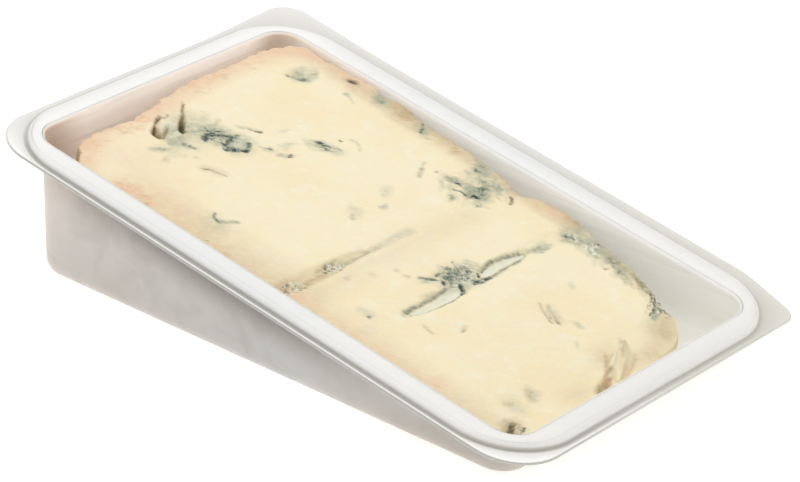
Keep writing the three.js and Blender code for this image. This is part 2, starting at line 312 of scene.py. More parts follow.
@dataclass(frozen=True)
class Furrow:
    """A long form of the top that pinches towards both ends."""

    start: Place
    end: Place
    half_width: float
    rise: float

    def cover(self, x: np.ndarray, y: np.ndarray) -> np.ndarray:
        """Finds the strength of the form at plan places.

        Args:
            x: Places along the tray.
            y: Places across the tray.

        Returns:
            1 along its middle line and 0 outside its half width.
        """
        along = np.array(self.end) - np.array(self.start)
        out = np.stack([x - self.start[0], y - self.start[1]], axis=1)
        share = np.clip(out @ along / (along @ along), 0, 1)
        distance = np.hypot(*(out - share[:, None] * along).T)
        reach = self.half_width * blend(0.45, 1, np.sin(math.pi * share))
        return 1 - smooth(0.35, 1, distance / reach)


def layered(start: Place, end: Place, bow: float,
            *coats: tuple[Tone, tuple[float, float], float, float]) -> tuple[Mark, ...]:
    """Lays several tones along one bowed line.

    Args:
        start: Place where the line starts.
        end: Place where it ends.
        bow: How far its middle lies to the left of the straight line.
        coats: Tone, half widths, strength and depth of each coat.

    Returns:
        One mark for each coat.
    """
    return tuple(Mark(tone, start, end, half_widths, strength, depth, bow)
                 for tone, half_widths, strength, depth in coats)


# The torn pit near the rind: a crack, a brown hollow round a pale lump, and grey streaks, with painted
# shade beside the crack and the second groove and painted highlights on the lumps.
TORN_PIT = (
    Patch(Tone.HAZE_AND_SHADE, (-55.5, -9.5), (12, 10), 0.3, -45),
    Patch(Tone.HAZE_AND_SHADE, (-58, -8.5), (8, 4.5), 0.4, -45),
    Patch(Tone.TANGLE, (-55, -10), (6, 6), 0.3),
    Patch(Tone.HAZE_AND_SHADE, (-55.5, -14.5), (4.5, 2.5), 0.75, -50),
    Patch(Tone.HAZE_AND_SHADE, (-56.5, -3), (5, 2), 0.35, -40),
    Patch(Tone.HAZE_AND_SHADE, (-52, -18.5), (5, 3), 0.3, -60),
    Mark(Tone.BROWN, (-65.5, -1.5), (-60, -7.5), (0.35, 0.6), 0.85, 0.2),
    Mark(Tone.BROWN, (-60, -7.5), (-56.9, -11), (0.7, 1.4), 1.0, 0.8),
    Mark(Tone.VEIN, (-63.5, -3.5), (-60, -7.5), (0.4, 0.6), 0.45, 0.3),
    Mark(Tone.VEIN, (-60, -7.5), (-56.9, -11), (0.5, 1.2), 0.95, 1.1),
    # Painted shade along the right side of the crack.
    Patch(Tone.HAZE_AND_SHADE, (-56.8, -8.5), (2.6, 1.4), 0.8, -50),
    Mark(Tone.BROWN, (-64, -8.5), (-63.3, -10.5), (0.5, 0.5), 0.35, 0.3, 0.3),
    Patch(Tone.BROWN, (-64.2, -11.2), (1.5, 1.0), 0.5, -60),
    Mark(Tone.BROWN, (-64, -11.8), (-62, -14.8), (0.7, 0.5), 0.8, 0.3, -0.2),
    Mark(Tone.BROWN, (-62, -14.8), (-59.6, -16.9), (0.5, 1.6), 0.9, 0.7, -0.2),
    Patch(Tone.BROWN, (-59.3, -16.9), (2.0, 1.6), 0.9, 10, 0.5),
    Patch(Tone.VEIN, (-58.8, -17.3), (1.4, 0.8), 0.35, 20),
    Patch(Tone.STAIN_AND_SHADE, (-60.2, -16.2), (2.6, 2), 0.7, -45),
    Mark(Tone.BROWN, (-59.8, -12.8), (-57.8, -16.4), (0.5, 1.0), 0.5, 0.4),
    Mark(Tone.VEIN, (-59.2, -14), (-57.8, -16.4), (0.35, 0.7), 0.35),
    Patch(Tone.HAZE_AND_SHADE, (-57.8, -13.8), (3, 1.6), 0.7, -55),
    # Painted shade to the right of the second groove.
    Patch(Tone.HAZE_AND_SHADE, (-55.4, -16.6), (2.4, 2), 1.0, -40, 0.3),
    Patch(Tone.VEIN, (-55.6, -17), (1.4, 0.9), 0.3, -40),
    # Painted highlights on the lit tops of the two lumps.
    Patch(Tone.PALE_AND_HIGHLIGHT, (-60.4, -12), (2.4, 1.6), 0.6, -50),
    Patch(Tone.PALE_AND_HIGHLIGHT, (-56.6, -14), (1.6, 1.6), 0.6, -50),
    Patch(Tone.HAZE_AND_SHADE, (-54.3, -21.2), (3.4, 2), 0.75, 55),
    Patch(Tone.VEIN, (-54.2, -21), (1.8, 0.9), 0.5, 55, 0.2),
    Patch(Tone.HAZE_AND_SHADE, (-51.5, -14.4), (4, 2), 0.6),
    Patch(Tone.VEIN, (-52.5, -14.4), (1.7, 1.1), 0.75, -40, 0.15),
    Patch(Tone.VEIN, (-50.4, -14.2), (2.0, 1.0), 0.75, -40, 0.15),
    Mark(Tone.VEIN, (-55, -4.8), (-53.4, -5.8), (0.6, 0.5), 0.6, 0.15),
    Mark(Tone.STAIN_AND_SHADE, (-55, 0), (-53.5, -3), (1, 0.8), 0.6),
    Patch(Tone.STAIN_AND_SHADE, (-50.5, -23.2), (2, 1.2), 0.6, -60),
    Patch(Tone.STAIN_AND_SHADE, (-48.3, -18.4), (1.2, 1.0), 0.5),
    Patch(Tone.STAIN_AND_SHADE, (-46.5, -16.8), (1.2, 0.8), 0.4),
)

# The darkest veins, just behind the pit: two mottled spots and a broken ring.
MAIN_CLUSTER = (
    Patch(Tone.HAZE_AND_SHADE, (-51.5, -6), (6, 5.5), 0.9),
    Patch(Tone.HAZE_AND_SHADE, (-45.5, -4.5), (6.5, 6), 0.9),
    Patch(Tone.TANGLE, (-51.5, -6), (5, 5), 0.8),
    Patch(Tone.TANGLE, (-46, -5), (5, 5), 0.7),
    Patch(Tone.VEIN, (-51.4, -6.4), (3.4, 3.6), 0.3),
    Patch(Tone.VEIN, (-51.4, -8.9), (2.6, 1.6), 0.8, -25, 0.15),
    Patch(Tone.VEIN, (-52.3, -7.4), (1.6, 1.1), 0.6),
    Patch(Tone.VEIN, (-51.4, -3.8), (1.3, 1.7), 0.6, 20),
    Patch(Tone.VEIN, (-51, -6), (1.4, 1.2), 0.75),
    Patch(Tone.VEIN, (-49.5, -5.6), (2, 1.4), 0.45),
    Patch(Tone.VEIN, (-48.2, -3.9), (2.4, 1.7), 1.0, 5, 0.25),
    Patch(Tone.VEIN, (-47.3, -2.6), (1.3, 2.2), 0.85, -10, 0.15),
    Mark(Tone.VEIN, (-47, -4.5), (-46.8, -6.5), (1.2, 1.2), 0.9, 0.15),
    Mark(Tone.VEIN, (-46.8, -6.5), (-45, -8.2), (1.3, 1.5), 0.85, 0.15),
    Mark(Tone.VEIN, (-45, -8), (-43, -6.4), (1.5, 1.3), 0.85, 0.15),
    Mark(Tone.VEIN, (-43.2, -6.4), (-41.5, -4.7), (1.2, 1.3), 1.0, 0.2),
    Mark(Tone.VEIN, (-41.7, -4.7), (-42.8, -2.2), (1.1, 1.2), 0.8, 0.15, -0.4),
    Patch(Tone.VEIN, (-43.4, -1.7), (1.8, 1.1), 0.7),
    Patch(Tone.PALE_AND_HIGHLIGHT, (-45.2, -4), (2.4, 2.4), 0.4),
    Thicket(Tone.VEIN, (-50.5, -6), (3, 3.5), 20, 11, 1.4, 0.3, 0.4),
)

# Single veins and faint spots from the thick end to the middle.
SCATTERED_VEINS = (
    Patch(Tone.HAZE_AND_SHADE, (-48.5, 3), (3.6, 1.3), 0.6, 35),
    Mark(Tone.VEIN, (-48, 3.5), (-45.5, 5), (0.6, 1.0), 0.95, 0.25),
    Patch(Tone.HAZE_AND_SHADE, (-43, 10.5), (1.0, 2.6), 0.25, -20),
    Patch(Tone.VEIN, (-39, 1), (1.1, 0.7), 0.85, 40, 0.1),
    Mark(Tone.VEIN, (-41, -0.5), (-39.5, 0.5), (0.5, 0.4), 0.5),
    Patch(Tone.HAZE_AND_SHADE, (-39, 0.5), (3, 1.4), 0.4, 30),
    Patch(Tone.HAZE_AND_SHADE, (-38, 6.5), (3.4, 1.0), 0.4, 70),
    Patch(Tone.STAIN_AND_SHADE, (-37.2, 4.6), (2.6, 1.0), 0.5, 80),
    Patch(Tone.HAZE_AND_SHADE, (-35.2, 2), (1.2, 3.4), 0.55, -30),
    Patch(Tone.VEIN, (-35, 3.3), (1.3, 1.0), 1.0, 0, 0.25),
    Patch(Tone.HAZE_AND_SHADE, (-32, 13), (6.5, 3), 0.8, 12),
    Patch(Tone.TANGLE, (-32, 12.5), (5, 2.6), 0.9, 12),
    Patch(Tone.VEIN, (-34, 13.3), (2.2, 1.0), 0.85, 8, 0.15),
    Patch(Tone.VEIN, (-31.5, 14), (1.8, 0.9), 0.85, 20, 0.1),
    Patch(Tone.VEIN, (-29.5, 14.8), (1.8, 0.7), 0.8, 25, 0.1),
    Patch(Tone.VEIN, (-30.5, 12), (1.4, 0.8), 0.6),
    Patch(Tone.HAZE_AND_SHADE, (-35, 10.5), (3, 1.4), 0.35, -20),
    Patch(Tone.VEIN, (-31.5, 18.5), (1.5, 0.9), 0.85, -10, 0.15),
    Mark(Tone.HAZE_AND_SHADE, (-30, 20.5), (-26, 18.5), (0.8, 0.6), 0.4, 0.0, 0.8),
    Patch(Tone.STAIN_AND_SHADE, (-40, -18), (5.5, 2.2), 0.45, 25),
    Patch(Tone.VEIN, (-41.5, -18.8), (1.2, 0.6), 0.65, 20, 0.1),
    Mark(Tone.BROWN, (-41, -18.8), (-36.5, -17), (0.6, 0.5), 0.3, 0.1),
    Mark(Tone.VEIN, (-27.5, -30.5), (-24.5, -32.3), (0.6, 0.8), 0.75, 0.3, -0.4),
    Mark(Tone.HAZE_AND_SHADE, (-24.5, -32), (-22, -28.5), (1.4, 1.0), 0.75),
    Patch(Tone.HAZE_AND_SHADE, (-24.5, -33.5), (6, 4), 0.3, -20),
    Patch(Tone.VEIN, (-21, -40.5), (1.0, 0.6), 0.7, 0, 0.1),
    Patch(Tone.STAIN_AND_SHADE, (-14, -40.5), (3, 1.4), 0.6),
    Patch(Tone.HAZE_AND_SHADE, (-9, -2), (4, 2.6), 0.3, -30),
    Patch(Tone.HAZE_AND_SHADE, (-7.8, -4.3), (2, 0.9), 0.5, -35),
    Patch(Tone.HAZE_AND_SHADE, (-10.5, 10.5), (2.2, 3.4), 0.3, 30),
    Patch(Tone.TANGLE, (-10.5, 10.5), (2.6, 3.6), 0.4),
    Patch(Tone.HAZE_AND_SHADE, (-6.5, 5.3), (1.2, 2.8), 0.45, 30),
    Patch(Tone.TANGLE, (-6.5, 5.3), (2, 3), 0.4),
)

# Marks along the far edge at the thick end: a crescent, a dark spot and a notch.
FAR_THICK_CORNER = (
    Patch(Tone.HAZE_AND_SHADE, (-57, 32.3), (4, 5), 0.7),
    Mark(Tone.VEIN, (-59.2, 28.8), (-56, 31), (1.3, 1.5), 0.45, 0.3),
    Mark(Tone.HAZE_AND_SHADE, (-56, 30.8), (-56, 35.5), (1.6, 1.2), 0.9, 0.2, -0.8),
    Mark(Tone.VEIN, (-56.2, 31), (-55.6, 33), (1.0, 0.6), 0.35),
    Mark(Tone.BROWN, (-65, 43.8), (-61, 42.8), (0.9, 0.7), 0.8, 0.3),
    Patch(Tone.STAIN_AND_SHADE, (-47.5, 39), (4.5, 2.4), 0.5, -30),
    Patch(Tone.VEIN, (-47.4, 40.1), (2.8, 1.2), 0.95, -20, 0.5),
    Patch(Tone.BROWN, (-47.2, 40), (3.4, 1.7), 0.35, -20),
    Patch(Tone.HAZE_AND_SHADE, (-44.8, 35), (1.2, 1.0), 0.55),
    Mark(Tone.HAZE_AND_SHADE, (-44.5, 35), (-41, 33), (0.7, 0.5), 0.35),
    Patch(Tone.HAZE_AND_SHADE, (-38, 39.8), (4.5, 3), 1.0, -40),
    Mark(Tone.VEIN, (-39, 41), (-37, 39), (1.6, 1.4), 0.4, 0.3),
    Patch(Tone.BROWN, (-29.5, 42), (3.5, 1.2), 0.25),
    Patch(Tone.STAIN_AND_SHADE, (-29.5, 41.5), (5, 2.5), 0.35),
)

# The veined patch at the far edge in the middle of the tray.
FAR_MIDDLE = (
    Patch(Tone.HAZE_AND_SHADE, (-23.5, 39), (4.5, 2.6), 0.85, -50),
    Patch(Tone.TANGLE, (-23.5, 39), (4, 2.2), 0.5, -50),
    Mark(Tone.VEIN, (-24.5, 41), (-22.3, 36.8), (0.6, 0.8), 0.5, 0.15),
    Patch(Tone.HAZE_AND_SHADE, (-19.5, 36.3), (1.4, 1.2), 0.5),
    Patch(Tone.STAIN_AND_SHADE, (-12.5, 38), (4, 1.8), 0.7, -55),
    Mark(Tone.VEIN, (-13, 39.5), (-11.3, 36), (0.5, 0.6), 0.3),
    Patch(Tone.HAZE_AND_SHADE, (-3.5, 38), (5.5, 3), 0.9, -45),
    Patch(Tone.TANGLE, (-3.5, 37.5), (5, 2.8), 0.75, -45),
    Patch(Tone.VEIN, (-3.8, 36.5), (2.0, 1.0), 0.6, -50, 0.2),
    Patch(Tone.HAZE_AND_SHADE, (1.5, 33.5), (5, 3.4), 0.95, -45),
    Patch(Tone.TANGLE, (1.5, 33), (5, 3.6), 0.85, -45),
    Patch(Tone.VEIN, (3, 30.5), (2.0, 1.0), 0.5, -45, 0.15),
    Patch(Tone.HAZE_AND_SHADE, (2.5, 28.5), (4.5, 4), 0.85),
    Patch(Tone.TANGLE, (2.5, 28.5), (4, 4), 0.9),
    Patch(Tone.VEIN, (3.2, 27.5), (1.6, 1.2), 0.9, 0, 0.15),
    Mark(Tone.VEIN, (-1.5, 24.8), (3, 27.3), (0.5, 0.8), 0.8, 0.15, -0.3),
    Patch(Tone.HAZE_AND_SHADE, (-4, 27.8), (4, 2.4), 0.9, 15),
    Patch(Tone.TANGLE, (-4, 27.6), (3.2, 2.2), 0.9),
    Patch(Tone.VEIN, (-2.8, 27.9), (1.6, 1.1), 0.8, 20, 0.15),
    Patch(Tone.HAZE_AND_SHADE, (-5, 24.5), (2.4, 1.2), 0.5, -30),
    Patch(Tone.HAZE_AND_SHADE, (0.6, 22), (2.6, 1.3), 0.75, -65),
    Patch(Tone.TANGLE, (0.6, 22), (2.4, 1.2), 0.6, -65),
    Patch(Tone.BROWN, (-8.7, 27), (1.0, 0.7), 0.55, -45),
    Mark(Tone.HAZE_AND_SHADE, (-11.8, 25.3), (-9.8, 22), (0.9, 0.9), 0.75),
    Mark(Tone.HAZE_AND_SHADE, (-13, 27.5), (-12, 25), (0.8, 0.7), 0.4),
    Patch(Tone.HAZE_AND_SHADE, (5.5, 29), (3.5, 2), 0.65, -35),
    Patch(Tone.VEIN, (5.7, 24.6), (1.5, 0.7), 0.65, -40, 0.1),
    Mark(Tone.BROWN, (8.3, 34.8), (10.5, 32), (0.8, 0.7), 0.6, 0.3, 0.3),
    Patch(Tone.STAIN_AND_SHADE, (6.5, 37.8), (3.5, 1.5), 0.8, -20),
    Patch(Tone.HAZE_AND_SHADE, (4.5, 35.3), (2, 1.2), 0.75, -45),
)

# The first crease, with its crumbly, brownish stretch near the near side; the brown-grey along it is
# partly real stain and partly painted shade in its valley.
FIRST_CREASE = (
    Mark(Tone.STAIN_AND_SHADE, (3.2, -43), (3, -20), (2.6, 2.2), 0.85, 0.2),
    Mark(Tone.STAIN_AND_SHADE, (3.2, -21), (4, -8), (2, 1.2), 0.5),
    Mark(Tone.HAZE_AND_SHADE, (3.2, -21), (3.8, -12), (1.8, 1.0), 0.45),
    Mark(Tone.HAZE_AND_SHADE, (3.6, -12), (4.2, 2), (1.4, 2.4), 0.3),
    Patch(Tone.TANGLE, (2.8, -22.5), (2.6, 4), 0.6),
    Patch(Tone.TANGLE, (3.2, -36.5), (2.6, 6), 0.6),
    Patch(Tone.PALE_AND_HIGHLIGHT, (3.4, -22.5), (1.6, 2.6), 0.6),
    Patch(Tone.PALE_AND_HIGHLIGHT, (3.6, -36), (1.6, 4), 0.5),
    Mark(Tone.BROWN, (1.5, -27), (1.3, -20.5), (0.5, 0.7), 0.3, 0.2),
    Thicket(Tone.VEIN, (2.8, -22.5), (1.9, 3.2), 24, 41, 0.8, 0.34, 0.5, 0.25, -50, 20),
    Thicket(Tone.VEIN, (3.2, -36.5), (2.0, 4.8), 34, 43, 0.8, 0.34, 0.5, 0.3, -50, 25),
    Thicket(Tone.PALE_AND_HIGHLIGHT, (3.2, -37), (2.0, 4.6), 24, 47, 0.8, 0.4, 0.9, -0.25, -50, 25),
    Thicket(Tone.PALE_AND_HIGHLIGHT, (2.8, -22.5), (1.8, 3), 16, 49, 0.8, 0.4, 0.9, -0.25, -50, 25),
)

# The two leaf-shaped openings, pale inside with dark outlines.
LEAVES = (
    Mark(Tone.PALE_AND_HIGHLIGHT, (26.5, -22.5), (26.8, -6.5), (1.0, 2.0), 1.0, 0.3, -0.3),
    Patch(Tone.TANGLE, (26.8, -12), (1.4, 8), 0.3),
    *layered((25.2, -23), (24.8, -8.5), -0.1,
             (Tone.HAZE_AND_SHADE, (0.8, 0.7), 0.7, 0.0), (Tone.BROWN, (0.7, 0.6), 0.2, 0.25),
             (Tone.VEIN, (0.6, 0.5), 0.4, 0.0)),
    *layered((26.6, -22.5), (28.6, -12), -0.5,
             (Tone.HAZE_AND_SHADE, (0.7, 0.8), 0.7, 0.0), (Tone.BROWN, (0.6, 0.6), 0.3, 0.25),
             (Tone.VEIN, (0.6, 0.6), 0.45, 0.0)),
    *layered((28.6, -12), (27.8, -6), -0.3,
             (Tone.HAZE_AND_SHADE, (0.8, 1.0), 0.8, 0.0), (Tone.BROWN, (0.6, 0.7), 0.3, 0.3)),
    Mark(Tone.VEIN, (28.8, -14), (27.8, -6), (0.3, 0.9), 0.5, 0.1, -0.4),
    Mark(Tone.VEIN, (27.8, -6), (26, -4.6), (0.9, 0.9), 0.95, 0.45, -0.2),
    Patch(Tone.VEIN, (26.1, -4.7), (1.4, 0.9), 1.0, -15, 0.3),
    Patch(Tone.HAZE_AND_SHADE, (25.3, -23), (1.2, 2.2), 0.8),
    Patch(Tone.HAZE_AND_SHADE, (24.2, -14), (1.4, 3.4), 0.5),
    Mark(Tone.PALE_AND_HIGHLIGHT, (25.5, 5.5), (25.4, 18), (1.6, 1.1), 1.0, 0.3, 0.1),
    Patch(Tone.TANGLE, (25.6, 11), (1.4, 7), 0.4),
    *layered((24.6, 4.6), (23.7, 9), 0.3,
             (Tone.HAZE_AND_SHADE, (0.9, 0.8), 0.8, 0.0), (Tone.BROWN, (0.7, 0.6), 0.25, 0.3)),
    *layered((23.7, 9), (24.7, 18), 0.1,
             (Tone.HAZE_AND_SHADE, (0.7, 0.7), 0.7, 0.0), (Tone.BROWN, (0.6, 0.6), 0.2, 0.25),
             (Tone.VEIN, (0.6, 0.5), 0.4, 0.0)),
    Mark(Tone.HAZE_AND_SHADE, (25.6, 19.2), (26.9, 14.5), (0.8, 1.2), 0.8, 0.0, 0.3),
    *layered((26.9, 14.5), (27.6, 3.5), 0.0,
             (Tone.HAZE_AND_SHADE, (1.2, 1.2), 0.8, 0.0), (Tone.BROWN, (0.5, 0.6), 0.35, 0.2)),
    Mark(Tone.VEIN, (24.6, 4.6), (23.8, 9), (0.7, 0.4), 0.5, 0.0, 0.3),
    Mark(Tone.VEIN, (24.7, 18), (25.6, 19.3), (0.6, 0.5), 0.5, 0.2, 0.2),
    Mark(Tone.VEIN, (26.8, 15.5), (26.7, 12.5), (0.8, 0.5), 0.5, 0.1),
    Mark(Tone.VEIN, (26.6, 9.5), (27.6, 3.5), (0.5, 0.8), 0.4, 0.15, 0.1),
    Mark(Tone.VEIN, (27.6, 3.5), (27.6, 0), (1.0, 1.3), 0.8, 0.3),
    Patch(Tone.HAZE_AND_SHADE, (26.6, 24), (5, 1.8), 0.85, 82, 0.15),
    Patch(Tone.VEIN, (26.5, 23), (2.6, 0.9), 0.3, 82),
)

# The tangle of veins between the two leaves.
MIDDLE_CLUSTER = (
    Patch(Tone.HAZE_AND_SHADE, (23.2, -2.5), (6, 8.5), 0.9),
    Patch(Tone.TANGLE, (23.2, -2.5), (5.8, 7.8), 0.9),
    Patch(Tone.VEIN, (23.3, -2.5), (5, 7), 0.15),
    Patch(Tone.VEIN, (27, 1.5), (1.8, 3.4), 0.5, 10),
    Patch(Tone.PALE_AND_HIGHLIGHT, (24.6, -2.5), (3, 4.5), 0.5),
    Mark(Tone.VEIN, (18.6, -11.3), (20.6, -9), (0.8, 0.8), 0.75, 0.2),
    Mark(Tone.VEIN, (20.6, -9), (21.5, -8), (0.9, 0.5), 0.8, 0.2),
    Patch(Tone.HAZE_AND_SHADE, (20, -10.5), (2.4, 2), 0.7, 50),
    Patch(Tone.VEIN, (22.9, -7.7), (1.8, 0.9), 0.7, -20, 0.25),
    Patch(Tone.VEIN, (20.1, -6.5), (0.9, 1.8), 0.55, 0, 0.2),
    Patch(Tone.VEIN, (21.5, -4), (1.6, 0.7), 0.55, -55, 0.15),
    Patch(Tone.VEIN, (19.6, -2.5), (1.2, 1.6), 0.45),
    Patch(Tone.VEIN, (18.9, 0.8), (1.2, 0.8), 0.6, -30, 0.15),
    Patch(Tone.VEIN, (22.8, 1.2), (1.6, 1.2), 0.6, -40, 0.2),
    Patch(Tone.VEIN, (25.4, 2.8), (1.3, 1.0), 0.95, -40, 0.25),
    Patch(Tone.VEIN, (27.2, -0.5), (1.0, 1.6), 0.85, 0, 0.25),
    Patch(Tone.VEIN, (24.6, -2.6), (1.5, 0.6), 0.6, -50),
    Patch(Tone.VEIN, (23.2, -5.4), (1.6, 0.6), 0.6, -50),
    Patch(Tone.HAZE_AND_SHADE, (21.5, 4), (2.6, 1.6), 0.6),
    Thicket(Tone.VEIN, (23, -2.5), (4, 5), 36, 53, 1.4, 0.32, 0.4, 0.2, -50, 35),
)

# Small marks of the thin half.
THIN_HALF = (
    Patch(Tone.STAIN_AND_SHADE, (13.8, -13.3), (1.3, 1.0), 0.5),
    Patch(Tone.STAIN_AND_SHADE, (16.4, -13), (1.3, 1.0), 0.75),
    Patch(Tone.STAIN_AND_SHADE, (8.3, -24), (1.4, 1.4), 0.45),
    Patch(Tone.STAIN_AND_SHADE, (11, -19), (1.6, 1.2), 0.3),
    Patch(Tone.HAZE_AND_SHADE, (20.5, -31.8), (3.6, 2), 0.35),
    Patch(Tone.VEIN, (22.2, -32.3), (1.4, 0.8), 0.65, -40, 0.15),
    Patch(Tone.STAIN_AND_SHADE, (38.5, -18.6), (2.2, 1.1), 0.9, -60, 0.3),
    Patch(Tone.BROWN, (38.8, -19.2), (1.2, 0.7), 0.3, -60),
    # Painted highlight beside the orange pit.
    Patch(Tone.PALE_AND_HIGHLIGHT, (36.8, -18), (2.6, 1.0), 0.7, -55, -0.25),
    Mark(Tone.STAIN_AND_SHADE, (31.5, -24.6), (35, -25.4), (0.7, 0.7), 0.7, 0.15),
    Mark(Tone.STAIN_AND_SHADE, (41.5, 5), (48.5, 0.8), (0.6, 0.6), 0.85, 0.25, -0.4),
    Mark(Tone.STAIN_AND_SHADE, (43, 6), (50, 2), (0.8, 0.7), 0.7, 0.2, -0.4),
    Mark(Tone.VEIN, (44.2, 4), (47.5, 1.8), (0.45, 0.45), 0.5, 0.1),
    Patch(Tone.VEIN, (49, 2.2), (1.3, 0.9), 0.7, -35, 0.2),
    Patch(Tone.HAZE_AND_SHADE, (46.5, 4), (6, 2.4), 0.3, -30),
    Patch(Tone.HAZE_AND_SHADE, (52.5, 5.2), (2.8, 1.6), 0.45),
    Patch(Tone.HAZE_AND_SHADE, (41.5, 17), (2, 1.4), 0.3, -45),
    Patch(Tone.HAZE_AND_SHADE, (57.5, -1), (1.8, 0.9), 0.35, -30),
    Patch(Tone.HAZE_AND_SHADE, (62.5, -23.3), (4, 2.4), 0.35, -25),
    Patch(Tone.STAIN_AND_SHADE, (62.4, -24.2), (2.6, 1.6), 0.7, -35, 0.2),
    Patch(Tone.VEIN, (62.4, -24.2), (1.6, 0.9), 0.25, -35),
    Patch(Tone.STAIN_AND_SHADE, (61.8, -30.8), (1.8, 1.4), 0.7, -30, 0.2),
    Patch(Tone.HAZE_AND_SHADE, (63, -30), (5, 4), 0.25),
    Patch(Tone.HAZE_AND_SHADE, (67.6, -36), (3.4, 3), 0.3),
    Patch(Tone.STAIN_AND_SHADE, (67.6, -36), (4, 4), 0.8),
    Patch(Tone.TANGLE, (68.6, -35), (3.4, 3.4), 0.6),
    Mark(Tone.VEIN, (66.7, -35.3), (68.2, -37.8), (0.7, 1.1), 0.8, 0.9),
    Mark(Tone.VEIN, (69.2, -34), (70, -35.6), (0.5, 0.6), 0.45, 0.3),
)

# Mould along the far edge of the thin half, down to the lobe at the thin end, with stain strokes along
# the edge that are partly painted shade where the top falls to the wall.
FAR_THIN_EDGE = (
    Patch(Tone.HAZE_AND_SHADE, (28, 33), (4, 4), 0.6),
    Patch(Tone.TANGLE, (28.5, 32.8), (4, 3.4), 0.9),
    Patch(Tone.VEIN, (26.7, 32.8), (0.9, 1.0), 0.7, 0, 0.15),
    Patch(Tone.HAZE_AND_SHADE, (27.5, 38.5), (2.4, 2.6), 0.6),
    Patch(Tone.HAZE_AND_SHADE, (34, 35.5), (6, 3), 0.85, -10),
    Patch(Tone.TANGLE, (34, 35), (6, 3), 0.7, -10),
    Patch(Tone.HAZE_AND_SHADE, (31, 34.5), (9, 4.5), 0.6, -12),
    Patch(Tone.VEIN, (34, 36.8), (2.2, 1.0), 0.6, -20, 0.2),
    Patch(Tone.VEIN, (32, 34), (1.4, 1.0), 0.5),
    Patch(Tone.STAIN_AND_SHADE, (39, 35), (4.5, 2.6), 0.8, -25),
    Patch(Tone.HAZE_AND_SHADE, (40.5, 34), (3.6, 2.4), 0.8, -30),
    Patch(Tone.TANGLE, (40.5, 34), (3, 2.6), 0.9, -30),
    Patch(Tone.BROWN, (41.6, 29.8), (1.2, 0.8), 0.6, 20, 0.1),
    Patch(Tone.STAIN_AND_SHADE, (46, 33.5), (5, 2), 0.6),
    Thicket(Tone.PALE_AND_HIGHLIGHT, (31, 33.5), (6, 2.4), 34, 61, 0.9, 0.42, 0.9, -0.3, -45, 40),
    Mark(Tone.HAZE_AND_SHADE, (50, 34.5), (57, 31.5), (1.8, 2.2), 1.0, 0.0, 0.4),
    Mark(Tone.VEIN, (50.8, 34.8), (56, 32.6), (0.6, 0.8), 0.75, 0.2, 0.2),
    Mark(Tone.VEIN, (56, 32.6), (61.5, 28), (0.8, 1.4), 0.85, 0.3, 0.2),
    Mark(Tone.HAZE_AND_SHADE, (56, 31), (61, 23), (2.2, 1.2), 1.0, 0.0, 0.4),
    Mark(Tone.VEIN, (56.5, 29.5), (60, 23), (0.5, 0.5), 0.6, 0.25, 0.3),
    Mark(Tone.VEIN, (54.5, 30.5), (57.5, 26), (0.4, 0.4), 0.45, 0.2, 0.2),
    Mark(Tone.PALE_AND_HIGHLIGHT, (57, 31), (60.5, 25), (0.7, 0.6), 0.9, -0.3, 0.3),
    Patch(Tone.TANGLE, (57.5, 29), (4, 3), 0.8, -50),
    Patch(Tone.HAZE_AND_SHADE, (61.5, 28.5), (2.6, 1.6), 0.9, -40),
    Patch(Tone.STAIN_AND_SHADE, (65, 22.5), (6, 7), 0.4),
    Mark(Tone.HAZE_AND_SHADE, (44, 36), (58, 31), (3, 3.4), 0.6),
    Thicket(Tone.VEIN, (50, 33), (9, 3.4), 48, 67, 2.0, 0.7, 0.28, 0.2, -35, 30),
    Thicket(Tone.VEIN, (59.5, 28.5), (4, 4), 24, 69, 2.0, 0.7, 0.3, 0.2, -50, 30),
    Thicket(Tone.HAZE_AND_SHADE, (46, 33.5), (13, 4), 60, 71, 2.4, 1.3, 0.25, 0.1, -35, 30),
    Thicket(Tone.HAZE_AND_SHADE, (1, 31), (7, 8), 60, 77, 2.6, 1.2, 0.25, 0.1, -45, 25),
    Mark(Tone.HAZE_AND_SHADE, (24, 41.5), (44, 36), (2.4, 2.4), 0.5),
    Mark(Tone.STAIN_AND_SHADE, (24, 41), (60, 29.5), (3, 3), 0.5),
)

